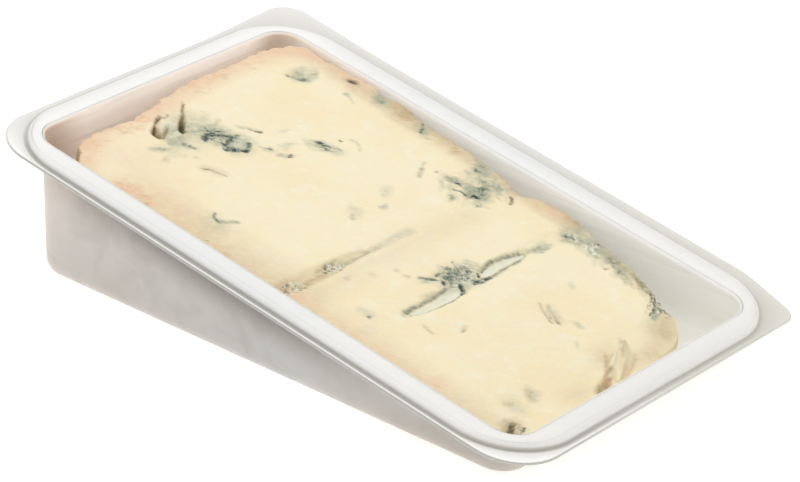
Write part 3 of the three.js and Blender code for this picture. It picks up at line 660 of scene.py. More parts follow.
# Folds over the hollow at the thin end. Their stain and haze marks are partly the paste's tan and partly
# painted shade on the folds and in the hollow.
THIN_END_FOLDS = (
    Patch(Tone.STAIN_AND_SHADE, (65.3, 6.8), (2.8, 1.5), 0.45, -55),
    Patch(Tone.HAZE_AND_SHADE, (62.5, 9), (3, 1.6), 0.2, -45),
    Patch(Tone.STAIN_AND_SHADE, (63.5, 1), (3, 2.4), 0.35, -60),
    Patch(Tone.STAIN_AND_SHADE, (66, 3), (7, 8), 0.3, -55),
    Mark(Tone.STAIN_AND_SHADE, (62.5, 9), (66.5, 4.5), (0.9, 0.8), 0.6, 0.3, 0.3),
    Mark(Tone.STAIN_AND_SHADE, (64, 1.5), (67, -2.5), (0.9, 0.9), 0.6, 0.3, 0.2),
    Mark(Tone.STAIN_AND_SHADE, (67, 8.5), (70.5, 2), (1.2, 0.8), 0.5, 0.25, 0.2),
    Mark(Tone.PEACH, (68.8, 2.8), (71.5, 0.5), (1.2, 1.2), 0.9, 0.2),
    Mark(Tone.STAIN_AND_SHADE, (62, 26), (70, 12), (6, 6), 0.25),
    Mark(Tone.PALE_AND_HIGHLIGHT, (63.5, 9), (68.5, 2), (0.9, 0.8), 0.3, -0.4, 0.6),
    Mark(Tone.PALE_AND_HIGHLIGHT, (65, 3), (68.5, -2.5), (0.8, 0.8), 0.3, -0.3, 0.4),
    Mark(Tone.STAIN_AND_SHADE, (67.5, -1.5), (71.3, -9), (1.4, 2.4), 0.9, 0.2),
    Mark(Tone.PEACH, (67.5, -2), (70, -5), (1.2, 1.4), 0.5),
    Mark(Tone.BROWN, (69, -3.5), (70.6, -8.8), (0.8, 1.8), 0.3, 0.4),
    Patch(Tone.PEACH, (69, 2.2), (2, 1.6), 0.8, -50),
    Patch(Tone.STAIN_AND_SHADE, (70.5, 1), (1.6, 3), 0.5, 20),
    Patch(Tone.STAIN_AND_SHADE, (68.5, -14), (4, 9), 0.25),
    Patch(Tone.STAIN_AND_SHADE, (69, 12), (4, 10), 0.35),
)

# The rind side keeps a peach tinge along the thick end, and in spots along the near edge. The broad
# stain and peach strokes along both long sides darken the paste there, partly its own tint and partly
# painted shade where the top curves down beside the walls.
RIND_TINGE = (
    Mark(Tone.PEACH, (-58, -43), (-67, -33), (6, 6), 0.8),
    Mark(Tone.PEACH, (-68, -33), (-69, -8), (6, 7), 0.75),
    Mark(Tone.PEACH, (-69.5, -8), (-71.5, 12), (7, 7), 0.8),
    Mark(Tone.PEACH, (-71.5, 12), (-71, 34), (7, 8), 0.9),
    Mark(Tone.PEACH, (-71, 34), (-60, 43.5), (9, 4), 0.95),
    Mark(Tone.STAIN_AND_SHADE, (-70, -30), (-72, 10), (1.6, 1.6), 0.35),
    Thicket(Tone.PEACH, (-66, -24), (3, 12), 26, 73, 2.4, 0.8, 0.7, 0.1, 39, 30),
    Patch(Tone.PEACH, (-66, -22.5), (2.4, 1.4), 0.6),
    Mark(Tone.PEACH, (-58, -30), (-36, -36), (12, 9), 0.3),
    Mark(Tone.PEACH, (-30, -42), (60, -44), (9, 6), 0.3),
    Mark(Tone.STAIN_AND_SHADE, (-70.5, 34), (-61, 43.5), (4, 3), 0.7),
    Mark(Tone.BROWN, (-66, 43.5), (-62, 43.4), (0.8, 0.6), 0.4, 0.2),
    Mark(Tone.PEACH, (-58, 44), (-40, 43), (5, 2.4), 0.7),
    Patch(Tone.STAIN_AND_SHADE, (-61.5, -38.5), (2.6, 1.6), 0.35, -40),
    Patch(Tone.PEACH, (-45.5, -39.5), (5, 2.8), 1.0, 0, 0.1),
    Patch(Tone.PEACH, (-39, -39.5), (2.6, 2), 1.0),
    Thicket(Tone.PEACH, (-46, -39.5), (5.5, 2.4), 34, 81, 1.4, 0.6, 1.0, 0.15, 40, 50),
    Thicket(Tone.STAIN_AND_SHADE, (-44, -39.8), (6, 1.8), 22, 83, 1.0, 0.5, 0.7, 0.15, 40, 50),
    Thicket(Tone.STAIN_AND_SHADE, (-66.5, -24), (3, 9), 18, 87, 1.4, 0.6, 0.5, 0.12, 39, 30),
    Thicket(Tone.STAIN_AND_SHADE, (-69, 20), (3, 20), 30, 89, 1.6, 0.7, 0.4, 0.1, 39, 30),
    Patch(Tone.STAIN_AND_SHADE, (-38.8, -39.5), (1.4, 1.0), 0.5),
    Patch(Tone.PEACH, (7, -38.5), (6, 3.4), 0.9),
    Mark(Tone.PEACH, (16, -43), (46, -43), (5, 5), 0.6),
    Patch(Tone.PEACH, (48, -38.5), (4, 3), 0.45),
    Patch(Tone.STAIN_AND_SHADE, (48, -40), (2, 0.8), 0.5),
    # Partly painted shade along the near side, where the top curves down under the rim.
    Mark(Tone.STAIN_AND_SHADE, (-42, -43), (0, -43), (13, 16), 0.6),
    Mark(Tone.STAIN_AND_SHADE, (6, -43), (66, -43), (12, 9), 0.42),
    # Partly painted shade along the far side, where the top curves down under the rim.
    Mark(Tone.STAIN_AND_SHADE, (-58, 44), (-30, 43), (8, 9), 0.8),
    Mark(Tone.PEACH, (-64, 42), (-40, 42), (9, 8), 0.45),
    Mark(Tone.STAIN_AND_SHADE, (-44, 42), (-26, 42), (6, 7), 0.4),
    Mark(Tone.STAIN_AND_SHADE, (-30, 42), (22, 41), (7, 7), 0.3),
    Mark(Tone.STAIN_AND_SHADE, (-30, 43), (24, 42), (9, 9), 0.9),
    Mark(Tone.STAIN_AND_SHADE, (24, 42), (60, 30), (7, 5), 0.6),
    Mark(Tone.STAIN_AND_SHADE, (8, -30), (8, 20), (8, 6), 0.16),
    Patch(Tone.PEACH, (18, 37.5), (9, 3.6), 0.55),
)

MARK_GROUPS = (
    TORN_PIT, MAIN_CLUSTER, SCATTERED_VEINS, FAR_THICK_CORNER, FAR_MIDDLE, FIRST_CREASE, LEAVES,
    MIDDLE_CLUSTER, THIN_HALF, FAR_THIN_EDGE, THIN_END_FOLDS, RIND_TINGE,
)


class Wire:
    """A node's output that takes part in expressions, which add the nodes they need."""

    def __init__(self, shader: "Shader", socket: bpy.types.NodeSocket) -> None:
        """Keeps the output socket and the shader that it belongs to."""
        self.shader = shader
        self.socket = socket

    def _maths(self, operation: str, first: Any, second: Any) -> "Wire":
        """Adds the node for one operation.

        Args:
            operation: Name of the Math or Vector Math operation.
            first: Wire or number on the left.
            second: Wire or number on the right.

        Returns:
            The result's wire.
        """
        kind = "ShaderNodeMath" if self.socket.type == "VALUE" else "ShaderNodeVectorMath"
        return self.shader.node(kind, {"operation": operation}, {0: first, 1: second})

    def __add__(self, other: Any) -> "Wire":
        """Adds on the right."""
        return self._maths("ADD", self, other)

    def __radd__(self, other: Any) -> "Wire":
        """Adds on the left."""
        return self._maths("ADD", other, self)

    def __sub__(self, other: Any) -> "Wire":
        """Subtracts from this wire."""
        return self._maths("SUBTRACT", self, other)

    def __rsub__(self, other: Any) -> "Wire":
        """Subtracts this wire from a number."""
        return self._maths("SUBTRACT", other, self)

    def __mul__(self, other: Any) -> "Wire":
        """Multiplies on the right."""
        return self._maths("MULTIPLY", self, other)

    def __rmul__(self, other: Any) -> "Wire":
        """Multiplies on the left."""
        return self._maths("MULTIPLY", other, self)


class Shader:
    """Node tree of one material, built from expressions and from one way to add a node."""

    def __init__(self, name: str) -> None:
        """Starts an empty material.

        Args:
            name: Name of the material.
        """
        self.material = bpy.data.materials.new(name)
        self.material.use_nodes = True
        self.tree = self.material.node_tree
        self.tree.nodes.clear()

    def node(self, kind: str, settings: dict[str, Any] | None = None,
             sockets: dict[str | int, Any] | None = None, output: int = 0) -> Wire | None:
        """Adds a node.

        Args:
            kind: Type name of the node.
            settings: Properties, set before the sockets.
            sockets: Values or wires for its inputs, by name or number.
            output: Number of the output that is wanted.

        Returns:
            The wanted output's wire, or None where the node has no output.
        """
        made = self.tree.nodes.new(kind)
        for name, value in (settings or {}).items():
            setattr(made, name, value)
        for key, value in (sockets or {}).items():
            if isinstance(value, Wire):
                self.tree.links.new(value.socket, made.inputs[key])
            else:
                made.inputs[key].default_value = value
        return Wire(self, made.outputs[output]) if len(made.outputs) else None

    def mix(self, first: Any, second: Any, share: Any) -> Wire:
        """Mixes two colours by a share."""
        return self.node("ShaderNodeMix", {"data_type": "RGBA"}, {0: share, 6: first, 7: second}, 2)

    def fade(self, value: Wire, start: float, end: float, top: float = 1.0) -> Wire:
        """Rises smoothly from 0 at start to top at end."""
        return self.node("ShaderNodeMapRange", {"interpolation_type": "SMOOTHSTEP"},
                         {"Value": value, "From Min": start, "From Max": end, "To Max": top})

    def grain(self, at: Wire, size: float, detail: float = 3.0, turn: float = 0.0) -> Wire:
        """Adds noise whose bumps have a size in millimetres.

        Args:
            at: Coordinates in metres.
            size: Width of the largest bumps in millimetres.
            detail: Layers of finer noise.
            turn: How much the noise is twisted.

        Returns:
            The noise's wire, about 0.2 to 0.8.
        """
        return self.node("ShaderNodeTexNoise", None, {
            "Vector": at, "Scale": 1 / (size * MM), "Detail": detail, "Distortion": turn})

    def painted(self, name: str) -> Wire:
        """Reads a number painted on the mesh."""
        return self.node("ShaderNodeAttribute", {"attribute_name": name}, None, 2)

    def finish(self, sockets: dict[str | int, Any]) -> bpy.types.Material:
        """Adds the surface shader and the output.

        Args:
            sockets: Values or wires of the Principled shader.

        Returns:
            The finished material.
        """
        surface = self.node("ShaderNodeBsdfPrincipled", None, sockets)
        self.node("ShaderNodeOutputMaterial", None, {"Surface": surface})
        return self.material


@dataclass(frozen=True)
class PasteFinish:
    """Moist cream paste with mould veins and a peach tinge at the rind side, and painted shade and
    highlights carried by some of its tones.
    """

    cream: Colour = srgb(245, 233, 198)
    butter: Colour = srgb(244, 228, 187)
    milk: Colour = srgb(246, 239, 216)
    tints: dict[Tone, Colour] = field(default_factory=lambda: {
        Tone.STAIN_AND_SHADE: srgb(200, 177, 138),
        Tone.PEACH: srgb(235, 202, 167),
        Tone.HAZE_AND_SHADE: srgb(179, 180, 155),
        Tone.PALE_AND_HIGHLIGHT: srgb(234, 233, 212),
        Tone.BROWN: srgb(110, 81, 40),
    })
    mould: Colour = srgb(146, 152, 134)
    dark_mould: Colour = srgb(66, 82, 77)
    deep_mould: Colour = srgb(44, 52, 42)
    brown_mould: Colour = srgb(150, 132, 104)
    dark_brown_mould: Colour = srgb(96, 82, 60)
    broad_size: float = 24.0
    curd_size: float = 4.0
    crumb_size: float = 0.9
    thread_gap: float = 2.2
    smear: float = 39.3
    smear_stretch: float = 3.2
    bump_strength: float = 0.5
    bump_depth: float = 0.4
    subsurface: float = 0.25
    subsurface_reach: float = 1.2

    def material(self) -> bpy.types.Material:
        """Builds the paste's material.

        Returns:
            The material, which reads the tones painted on the mesh.
        """
        shader = Shader("cheese_paste")
        at = shader.node("ShaderNodeTexCoord", None, None, 3)
        broad = shader.grain(at, self.broad_size, 2.0)
        curd = shader.grain(at, self.curd_size, 4.0, 0.6)
        crumb = shader.grain(at, self.crumb_size, 3.0)
        smeared = shader.node("ShaderNodeMapping", {"vector_type": "TEXTURE"}, {
            "Vector": at, "Rotation": (0.0, 0.0, math.radians(self.smear)),
            "Scale": (self.smear_stretch, 1.0, 1.0)})
        fibre = shader.grain(smeared, self.crumb_size, 3.0)
        winding = shader.grain(at, self.thread_gap, 3.0, 1.5) - 0.5
        threads = 1 - shader.fade(winding * winding, 0.0, 0.0035)
        colour = shader.mix(self.cream, self.butter, shader.fade(broad, 0.4, 0.68, 0.8))
        colour = shader.mix(colour, self.milk, shader.fade(curd, 0.5, 0.72, 0.55))
        unevenness = (curd - 0.5) * 1.6 + (crumb - 0.5) * 0.8 + (fibre - 0.5) * 0.9
        # The haze and stain tones also lay painted shade here, and the pale tone lays painted
        # highlights.
        for tone, tint in self.tints.items():
            cover = shader.painted(tone.value) * (unevenness * (1.4 if tone.misty else 0.9) + 1.08)
            colour = shader.mix(colour, tint, cover)
        vein = shader.painted(Tone.VEIN.value)
        tangle = shader.painted(Tone.TANGLE.value)
        broken = (crumb - 0.5) * 1.6 + (fibre - 0.5) * 2.4
        edge = vein * (broken + 0.85) + tangle * (threads * 0.45 + broken * 0.8 + 0.1)
        browned = shader.fade(shader.painted(Tone.STAIN_AND_SHADE.value), 0.35, 0.75)
        mould = shader.mix(self.mould, self.brown_mould, browned)
        dark_mould = shader.mix(self.dark_mould, self.dark_brown_mould, browned)
        colour = shader.mix(colour, mould, shader.fade(edge, 0.08, 0.6, 0.9))
        colour = shader.mix(colour, dark_mould, shader.fade(edge, 0.42, 1.1, 0.9))
        colour = shader.mix(colour, self.deep_mould, shader.fade(edge, 0.85, 1.35, 0.8))
        relief = curd * 0.7 + crumb * 0.4 + fibre * 0.4 - shader.fade(edge, 0.1, 0.8, 0.5)
        normal = shader.node("ShaderNodeBump", None, {
            "Strength": self.bump_strength, "Distance": self.bump_depth * MM, "Height": relief})
        return shader.finish({
            "Base Color": colour,
            "Roughness": 0.36 + shader.fade(curd, 0.3, 0.7, 0.2) + shader.fade(vein, 0.1, 0.5, 0.15),
            "Normal": normal,
            "Subsurface Weight": self.subsurface,
            "Subsurface Radius": (1.0, 0.65, 0.35),
            "Subsurface Scale": self.subsurface_reach * MM,
            "IOR": 1.42,
        })


@dataclass(frozen=True)
class MilkyPlastic:
    """Milky thermoformed sheet: white where the band was pressed, tinged on the walls. The wall tints
    stand in for the cheese seen through and reflected in the sheet. The sheet also carries painted shade
    under the rim, in the thick end's corners, towards the thin foot and on the step faces and edges, a
    painted highlight along the mouth, and a near flange painted lighter.
    """

    band: Colour = srgb(224, 224, 222)
    thin_band: Colour = srgb(221, 220, 215)
    flange: Colour = srgb(194, 193, 189)
    lit_near_flange: Colour = srgb(228, 228, 225)
    thin_flange: Colour = srgb(186, 185, 178)
    line_shade: Colour = srgb(132, 132, 126)
    rosy_wall: Colour = srgb(214, 202, 192)
    green_wall: Colour = srgb(208, 204, 196)
    thin_wall: Colour = srgb(236, 232, 223)
    clouded_wall: Colour = srgb(190, 179, 170)
    shaded_wall: Colour = srgb(118, 112, 103)
    foot_shade_wall: Colour = srgb(200, 187, 175)
    rosy_inside: Colour = srgb(236, 218, 204)
    green_inside: Colour = srgb(242, 241, 230)
    drawn_inside: Colour = srgb(204, 192, 180)
    corner_shade: Colour = srgb(142, 120, 102)
    rosy_mouth_highlight: Colour = srgb(254, 215, 188)
    white_mouth_highlight: Colour = srgb(252, 251, 245)
    cloud_size: float = 30.0
    mottle_size: float = 11.0
    streak_size: float = 2.0
    streak_squeeze: float = 0.06
    haze_size: float = 1.4
    bump_strength: float = 0.12
    bump_depth: float = 0.25
    subsurface: float = 0.75
    subsurface_reach: float = 4.0

    def material(self) -> bpy.types.Material:
        """Builds the sheet's material.

        Returns:
            The material, which reads how far each place was pressed from the mesh.
        """
        shader = Shader("milky_sheet")
        at = shader.node("ShaderNodeTexCoord", None, None, 3)
        level = shader.node("ShaderNodeMapping", None, {
            "Vector": at, "Scale": (self.streak_squeeze, self.streak_squeeze, 1.0)})
        cloud = shader.grain(at, self.cloud_size, 2.0)
        mottle = shader.grain(at, self.mottle_size, 3.0, 0.8)
        streaks = shader.grain(level, self.streak_size, 3.0)
        haze = shader.grain(at, self.haze_size, 3.0)
        along, across, height = (
            shader.node("ShaderNodeSeparateXYZ", None, {"Vector": at}, i) for i in range(3))
        thin = shader.fade(along + (cloud - 0.5) * 0.06, -0.07, 0.01)
        thin_end = shader.fade(along, 0.0, 0.08)
        # The rosy and grey-green tints stand in for the cheese seen through the wall.
        wall = shader.mix(self.rosy_wall, self.green_wall, thin)
        wall = shader.mix(wall, self.thin_wall, shader.fade(along, -0.01, 0.06))
        wall = shader.mix(wall, self.clouded_wall, shader.fade(mottle, 0.42, 0.68, 0.45))
        # Painted contact shade: the wall turns darker and rosier towards its foot at the thin end.
        low = (1 - shader.fade(height, 0.001, 0.016)) * shader.fade(along, 0.0, 0.05)
        wall = shader.mix(wall, self.foot_shade_wall, low * 0.9)
        # Painted shadow under the rim, strongest along the middle of the tray and weak at both ends.
        rim_shadow_along = shader.fade(along, -0.08, -0.03, 0.7) - shader.fade(along, 0.0, 0.05, 0.8)
        wall = shader.mix(wall, self.shaded_wall, shader.painted("shade") * (rim_shadow_along + 0.3))
        # Inside, the same tints are a painted reflection of the cheese.
        inside = shader.mix(self.rosy_inside, self.green_inside, thin)
        drawn = shader.fade(streaks, 0.46, 0.7, 0.7) * (1 - thin * 0.7)
        inside = shader.mix(inside, self.drawn_inside, drawn)
        # Painted shade in the inner corners at the thick end.
        corner = shader.fade(across * across, 0.0005, 0.0016) - shader.fade(along, -0.075, -0.062)
        inside = shader.mix(inside, self.corner_shade, corner * 0.9)
        # Painted highlight along the rounded mouth, rosy at the thick end and white further on.
        mouth = shader.mix(self.rosy_mouth_highlight, self.white_mouth_highlight, thin)
        inside = shader.mix(inside, mouth, shader.painted("mouth"))
        colour = shader.mix(wall, inside, shader.painted("inside"))
        # Painted light: the flange is lighter along the near side and greyer on the far side.
        near = (1 - shader.fade(across, -0.05, 0.015)) * shader.fade(along, -0.083, -0.066)
        flange = shader.mix(self.flange, self.thin_flange, thin_end)
        flange = shader.mix(flange, self.lit_near_flange, near)
        colour = shader.mix(colour, flange, shader.painted("flange"))
        band = shader.mix(self.band, self.thin_band, thin_end)
        colour = shader.mix(colour, band, shader.painted("band"))
        # The line look is painted shade on the step faces, the rounded edges and faint lines across the
        # band, stronger on the near side.
        line_shade_share = shader.painted("line") * (near * 0.55 + 0.38)
        colour = shader.mix(colour, self.line_shade, line_shade_share)
        normal = shader.node("ShaderNodeBump", None, {
            "Strength": self.bump_strength, "Distance": self.bump_depth * MM,
            "Height": haze * 0.35 + streaks * 0.4})
        return shader.finish({
            "Base Color": colour,
            "Roughness": 0.38 + shader.fade(haze, 0.3, 0.7, 0.12),
            "Normal": normal,
            "Subsurface Weight": self.subsurface,
            "Subsurface Radius": (1.0, 0.95, 0.9),
            "Subsurface Scale": self.subsurface_reach * MM,
            "IOR": 1.49,
        })


@dataclass(frozen=True)
class PaleGround:
    """Matt white sweep under the tray."""

    white: Colour = srgb(252, 252, 252)
    glow: float = 0.5
    tooth_size: float = 6.0

    def material(self) -> bpy.types.Material:
        """Builds the ground's material.

        Returns:
            The material, with a slight glow that keeps the ground white.
        """
        shader = Shader("pale_ground")
        at = shader.node("ShaderNodeTexCoord", None, None, 3)
        tooth = shader.grain(at, self.tooth_size, 3.0)
        return shader.finish({
            "Base Color": self.white,
            "Roughness": 0.85 + shader.fade(tooth, 0.3, 0.7, 0.1),
            "Emission Color": self.white,
            "Emission Strength": self.glow,
        })


@dataclass
class RimPlane:
    """Turns shapes made in the plane of the tray's rim into the part's own frame."""

    tilt: float
    shift: np.ndarray = field(default_factory=lambda: np.zeros(3))

    def turned(self, points: np.ndarray) -> np.ndarray:
        """Tilts points so that the tray's floor is level.

        Args:
            points: Points in the rim's plane, in millimetres.

        Returns:
            The tilted points, in millimetres.
        """
        cos, sin = math.cos(self.tilt), math.sin(self.tilt)
        x, y, z = points.T
        return np.stack([x * cos + z * sin, y, z * cos - x * sin], axis=1)

    def settle(self, points: np.ndarray, node: str) -> None:
        """Finds the shift that puts points where a CAD node stands.

        Args:
            points: All points of the tray in the rim's plane.
            node: Name of the CAD node.
        """
        low, high = (np.array(corner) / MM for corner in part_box(node))
        turned = self.turned(points)
        own_low, own_high = turned.min(axis=0), turned.max(axis=0)
        self.shift = (low + high - own_low - own_high) / 2
        self.shift[2] = low[2] - own_low[2]

    def placed(self, points: np.ndarray) -> np.ndarray:
        """Gives points in the part's own frame, in metres."""
        return (self.turned(points) + self.shift) * MM


@dataclass(frozen=True)
class Sides:
    """The four sides of a rectangle in plan, each one number or one for each station."""

    thin: Numbers
    thick: Numbers
    near: Numbers
    far: Numbers

    def inset(self, amount: Numbers) -> "Sides":
        """Moves every side inwards."""
        return Sides(self.thin - amount, self.thick + amount, self.near + amount, self.far - amount)


@dataclass
class Outline:
    """Stations round a rounded rectangle, anticlockwise from above, alike on every ring."""

    corner_steps: int = 14
    long_steps: int = 40
    short_steps: int = 26

    def __post_init__(self) -> None:
        """Works out each station's corner, angle and share of the way to the next corner."""
        stations = []
        for quarter, steps in enumerate((self.long_steps, self.short_steps) * 2):
            for i in range(self.corner_steps + 1):
                stations.append((quarter, quarter + i / self.corner_steps, 0.0))
            for i in range(1, steps):
                stations.append((quarter, quarter + 1.0, i / steps))
        quarters, turns, self.ahead = np.array(stations).T
        self.quarter = quarters.astype(int)
        self.angle = turns * math.pi / 2

    def _arc(self, quarter: np.ndarray, sides: Sides, radius: np.ndarray) -> np.ndarray:
        """Places each station on the arc of a corner.

        Args:
            quarter: Number of the corner for each station.
            sides: Sides of the rectangle.
            radius: Radius of each of the four corners.

        Returns:
            Plan places, one a row.
        """
        at_thin = np.isin(quarter, (0, 3))
        at_far = np.isin(quarter, (0, 1))
        reach = radius[quarter]
        x = np.where(at_thin, sides.thin - reach, sides.thick + reach)
        y = np.where(at_far, sides.far - reach, sides.near + reach)
        return np.stack([x + reach * np.cos(self.angle), y + reach * np.sin(self.angle)], axis=1)

    def places(self, sides: Sides, corners: Numbers) -> np.ndarray:
        """Places the stations.

        Args:
            sides: Sides of the rectangle.
            corners: One radius, or the radii of the four corners from the thin far one on.

        Returns:
            Plan places, one a row.
        """
        radius = np.broadcast_to(np.asarray(corners, dtype=float), (4,))
        here = self._arc(self.quarter, sides, radius)
        there = self._arc((self.quarter + 1) % 4, sides, radius)
        return blend(here, there, self.ahead[:, None])


def make_object(name: str, mesh_source: bmesh.types.BMesh,
                material: bpy.types.Material) -> bpy.types.Object:
    """Makes a smooth-shaded object of a finished bmesh, and frees the bmesh.

    Args:
        name: Name of the piece.
        mesh_source: Its shape, already in the part's own frame.
        material: Its finish.

    Returns:
        The object, at the origin.
    """
    bmesh.ops.recalc_face_normals(mesh_source, faces=mesh_source.faces[:])
    for face in mesh_source.faces:
        face.smooth = True
    mesh = bpy.data.meshes.new(name)
    mesh_source.to_mesh(mesh)
    mesh_source.free()
    mesh.materials.append(material)
    piece = bpy.data.objects.new(name, mesh)
    bpy.context.scene.collection.objects.link(piece)
    return piece


def extrude_rim(shape: bmesh.types.BMesh) -> list[bmesh.types.BMVert]:
    """Extrudes the open edge of a shape in place.

    Args:
        shape: Shape with one open edge.

    Returns:
        The new vertices, which keep the layer values of those they come from.
    """
    rim = [edge for edge in shape.edges if edge.is_boundary]
    made = bmesh.ops.extrude_edge_only(shape, edges=rim)
    return [item for item in made["geom"] if isinstance(item, bmesh.types.BMVert)]


def close_rim(shape: bmesh.types.BMesh) -> bmesh.types.BMVert:
    """Closes the open edge of a shape with a fan of faces.

    Args:
        shape: Shape with one open edge.

    Returns:
        The vertex in the middle of the fan.
    """
    rim = [edge for edge in shape.edges if edge.is_boundary]
    filled = bmesh.ops.edgeloop_fill(shape, edges=rim)
    return bmesh.ops.poke(shape, faces=filled["faces"])["verts"][0]


@dataclass(frozen=True)
class Ring:
    """One closed line of the tray's section, with the sheet's look there from 0 to 1. Band, flange and
    inside say which part of the sheet it is; line and shade are painted shade, and mouth is a painted
    highlight.
    """

    points: np.ndarray
    band: float = 0.0
    flange: float = 0.0
    line: float = 0.0
    inside: float = 0.0
    shade: Numbers = 0.0
    mouth: float = 0.0

    def look(self, name: str) -> np.ndarray:
        """Gives a look of the sheet at every point."""
        return np.broadcast_to(getattr(self, name), (len(self.points),))


@dataclass
class Tray:
    """The thermoformed tray: tub, sloping rim, raised sealing band, step and thin flange."""

    band_length: float = 160.0
    band_breadth: float = 100.0
    band_width: Sides = Sides(6.2, 5.5, 6.3, 6.5)
    band_crown: float = 0.275
    crown_at: float = 0.54
    crown_reach: float = 0.46
    crown_power: float = 1.4
    band_step: float = 1.2
    band_step_run: float = 0.4
    band_corner: float = 18.0
    band_edge_round: float = 0.95
    # Painted shade over the band's rounded outer edge, by angle round it.
    edge_shade: float = 0.6
    edge_shade_turns: Place = (0.9, 1.57)
    round_rings: int = 7
    # Step rings: drop, outward run and painted shade of each.
    step_rings: tuple[tuple[float, float, float], ...] = (
        (0.84, 0.1, 0.8), (0.93, 0.45, 0.9), (0.98, 1.1, 1.0), (1, 2.0, 0.9), (1, 2.5, 0.6),
        (1, 2.9, 0.4))
    # Band rings: share across the band and a faint painted shade line.
    band_shares: tuple[tuple[float, float], ...] = (
        (0.95, 0), (0.9, 0), (0.87, 0.15), (0.83, 0), (0.7, 0), (0.54, 0), (0.4, 0), (0.3, 0),
        (0.26, 0.15), (0.22, 0))
    lip: Sides = Sides(2.0, 2.5, 1.8, 4.99)
    lip_corners: tuple[float, ...] = (3.5, 7.0, 13.0, 13.0)
    lip_bend: float = 0.4
    lip_taper_start: float = 64.0
    lip_taper_rate: float = 0.26
    flare_reach: float = 34.0
    flare_along: float = 1.5
    flare_across: float = 0.9
    depth_thick: float = 38.4
    depth_thin: float = 10.8
    sheet: float = 0.6
    draft: Sides = Sides(0.03, 0.168, 0.03, 0.03)
    tub_corner: float = 5.8
    tub_foot: float = 4.0
    mouth_round: float = 0.8
    # Depths over which the painted shadow under the rim fades out.
    shade_start: float = 5.0
    shade_end: float = 18.0
    wall_rings: int = 12
    foot_rings: int = 7
    outline: Outline = field(default_factory=Outline)
    finish: MilkyPlastic = MilkyPlastic()

    @property
    def tilt(self) -> float:
        """Slope of the rim over the level floor."""
        return math.atan((self.depth_thick - self.depth_thin) / self.band_length)

    def depth_at(self, x: Numbers) -> Numbers:
        """Outer depth of the floor under the rim at a place along the tray."""
        return blend(self.depth_thick, self.depth_thin, x / self.band_length + 0.5)

    def rim_sides(self, share: float, amount: float) -> Sides:
        """Sides of the band.

        Args:
            share: 0 at its outer edge and 1 at its inner edge.
            amount: Further distance inwards.

        Returns:
            The four sides.
        """
        half_length, half_breadth = self.band_length / 2, self.band_breadth / 2
        width = self.band_width
        return Sides(
            half_length - share * width.thin, -half_length + share * width.thick,
            -half_breadth + share * width.near, half_breadth - share * width.far,
        ).inset(amount)

    def rim_ring(self, share: float, amount: float, corner: float, z: float,
                 **looks: float) -> Ring:
        """Makes a level ring of the rim.

        Args:
            share: 0 at the band's outer edge and 1 at its inner edge.
            amount: Further distance inwards.
            corner: Radius of the corners.
            z: Level over the rim's plane.
            looks: Looks of the sheet there, by name.

        Returns:
            The ring.
        """
        places = self.outline.places(self.rim_sides(share, amount), corner)
        return Ring(np.column_stack([places, np.full(len(places), z)]), **looks)

    def lip_ring(self, amount: float, z: float, line: float) -> Ring:
        """Makes a ring of the flange's cut edge, with its taper and its flare.

        Args:
            amount: Distance inwards from the cut edge.
            z: Level over the rim's plane.
            line: How much painted shade greys it.

        Returns:
            The ring.
        """
        half_length, half_breadth = self.band_length / 2, self.band_breadth / 2
        sides = Sides(half_length + self.lip.thin, -half_length - self.lip.thick,
                      -half_breadth - self.lip.near, half_breadth + self.lip.far)
        corners = np.array(self.lip_corners) - amount
        x, y = self.outline.places(sides.inset(amount), corners).T
        beyond = np.maximum(0, x - self.lip_taper_start) * smooth(0, self.flare_reach, y)
        away = np.hypot(x - sides.thick, y - sides.far)
        flare = 1 - smooth(0, self.flare_reach, away)
        x = x - flare * self.flare_along
        y = y + flare * self.flare_across - beyond * self.lip_taper_rate
        return Ring(np.stack([x, y, np.full(len(x), z)], axis=1), flange=1.0, line=line)

    def tub_sides(self, depth: Numbers, wall: float) -> Sides:
        """Sides of the tub at a depth, inside (wall 0) or outside (wall as the sheet)."""
        rim = self.rim_sides(1, self.mouth_round / 2 - wall)
        return Sides(rim.thin - self.draft.thin * depth, rim.thick + self.draft.thick * depth,
                     rim.near + self.draft.near * depth, rim.far - self.draft.far * depth)

    def tub_ring(self, share: float, foot: float, wall: float) -> Ring:
        """Makes a ring down the wall of the tub.

        Args:
            share: 0 at the rim and 1 where the rounded foot starts.
            foot: Angle round the foot.
            wall: 0 for the inside, the sheet's thickness for the outside.

        Returns:
            The ring.
        """
        lift = 0 if wall else self.sheet
        radius = self.tub_foot - lift
        top = self.outline.places(self.tub_sides(0, wall), self.tub_corner + wall)
        floor = self.depth_at(top[:, 0]) - lift
        wall_depth = self.mouth_round + share * (floor - radius - self.mouth_round)
        depth = wall_depth + radius * math.sin(foot)
        inward = radius * (1 - math.cos(foot))
        sides = self.tub_sides(depth, wall).inset(inward)
        place = self.outline.places(sides, self.tub_corner + wall - inward / 2)
        slope = (self.depth_at(place[:, 0]) - self.depth_at(top[:, 0])) * share
        # The outside wall gets a painted shadow just under the rim, fading with depth.
        rim_shadow = 1 - smooth(self.shade_start, self.shade_end, depth)
        return Ring(np.column_stack([place, -(depth + slope)]), inside=float(not wall),
                    shade=rim_shadow if wall else 0.0)

    def wall_stack(self, wall: float) -> list[Ring]:
        """Rings of the tub from its floor up to its rim, inside or outside."""
        angles = np.linspace(math.pi / 2, 0, self.foot_rings)
        shares = np.linspace(1, 0, self.wall_rings)[1:]
        feet = [self.tub_ring(1, angle, wall) for angle in angles]
        return feet + [self.tub_ring(share, 0, wall) for share in shares]

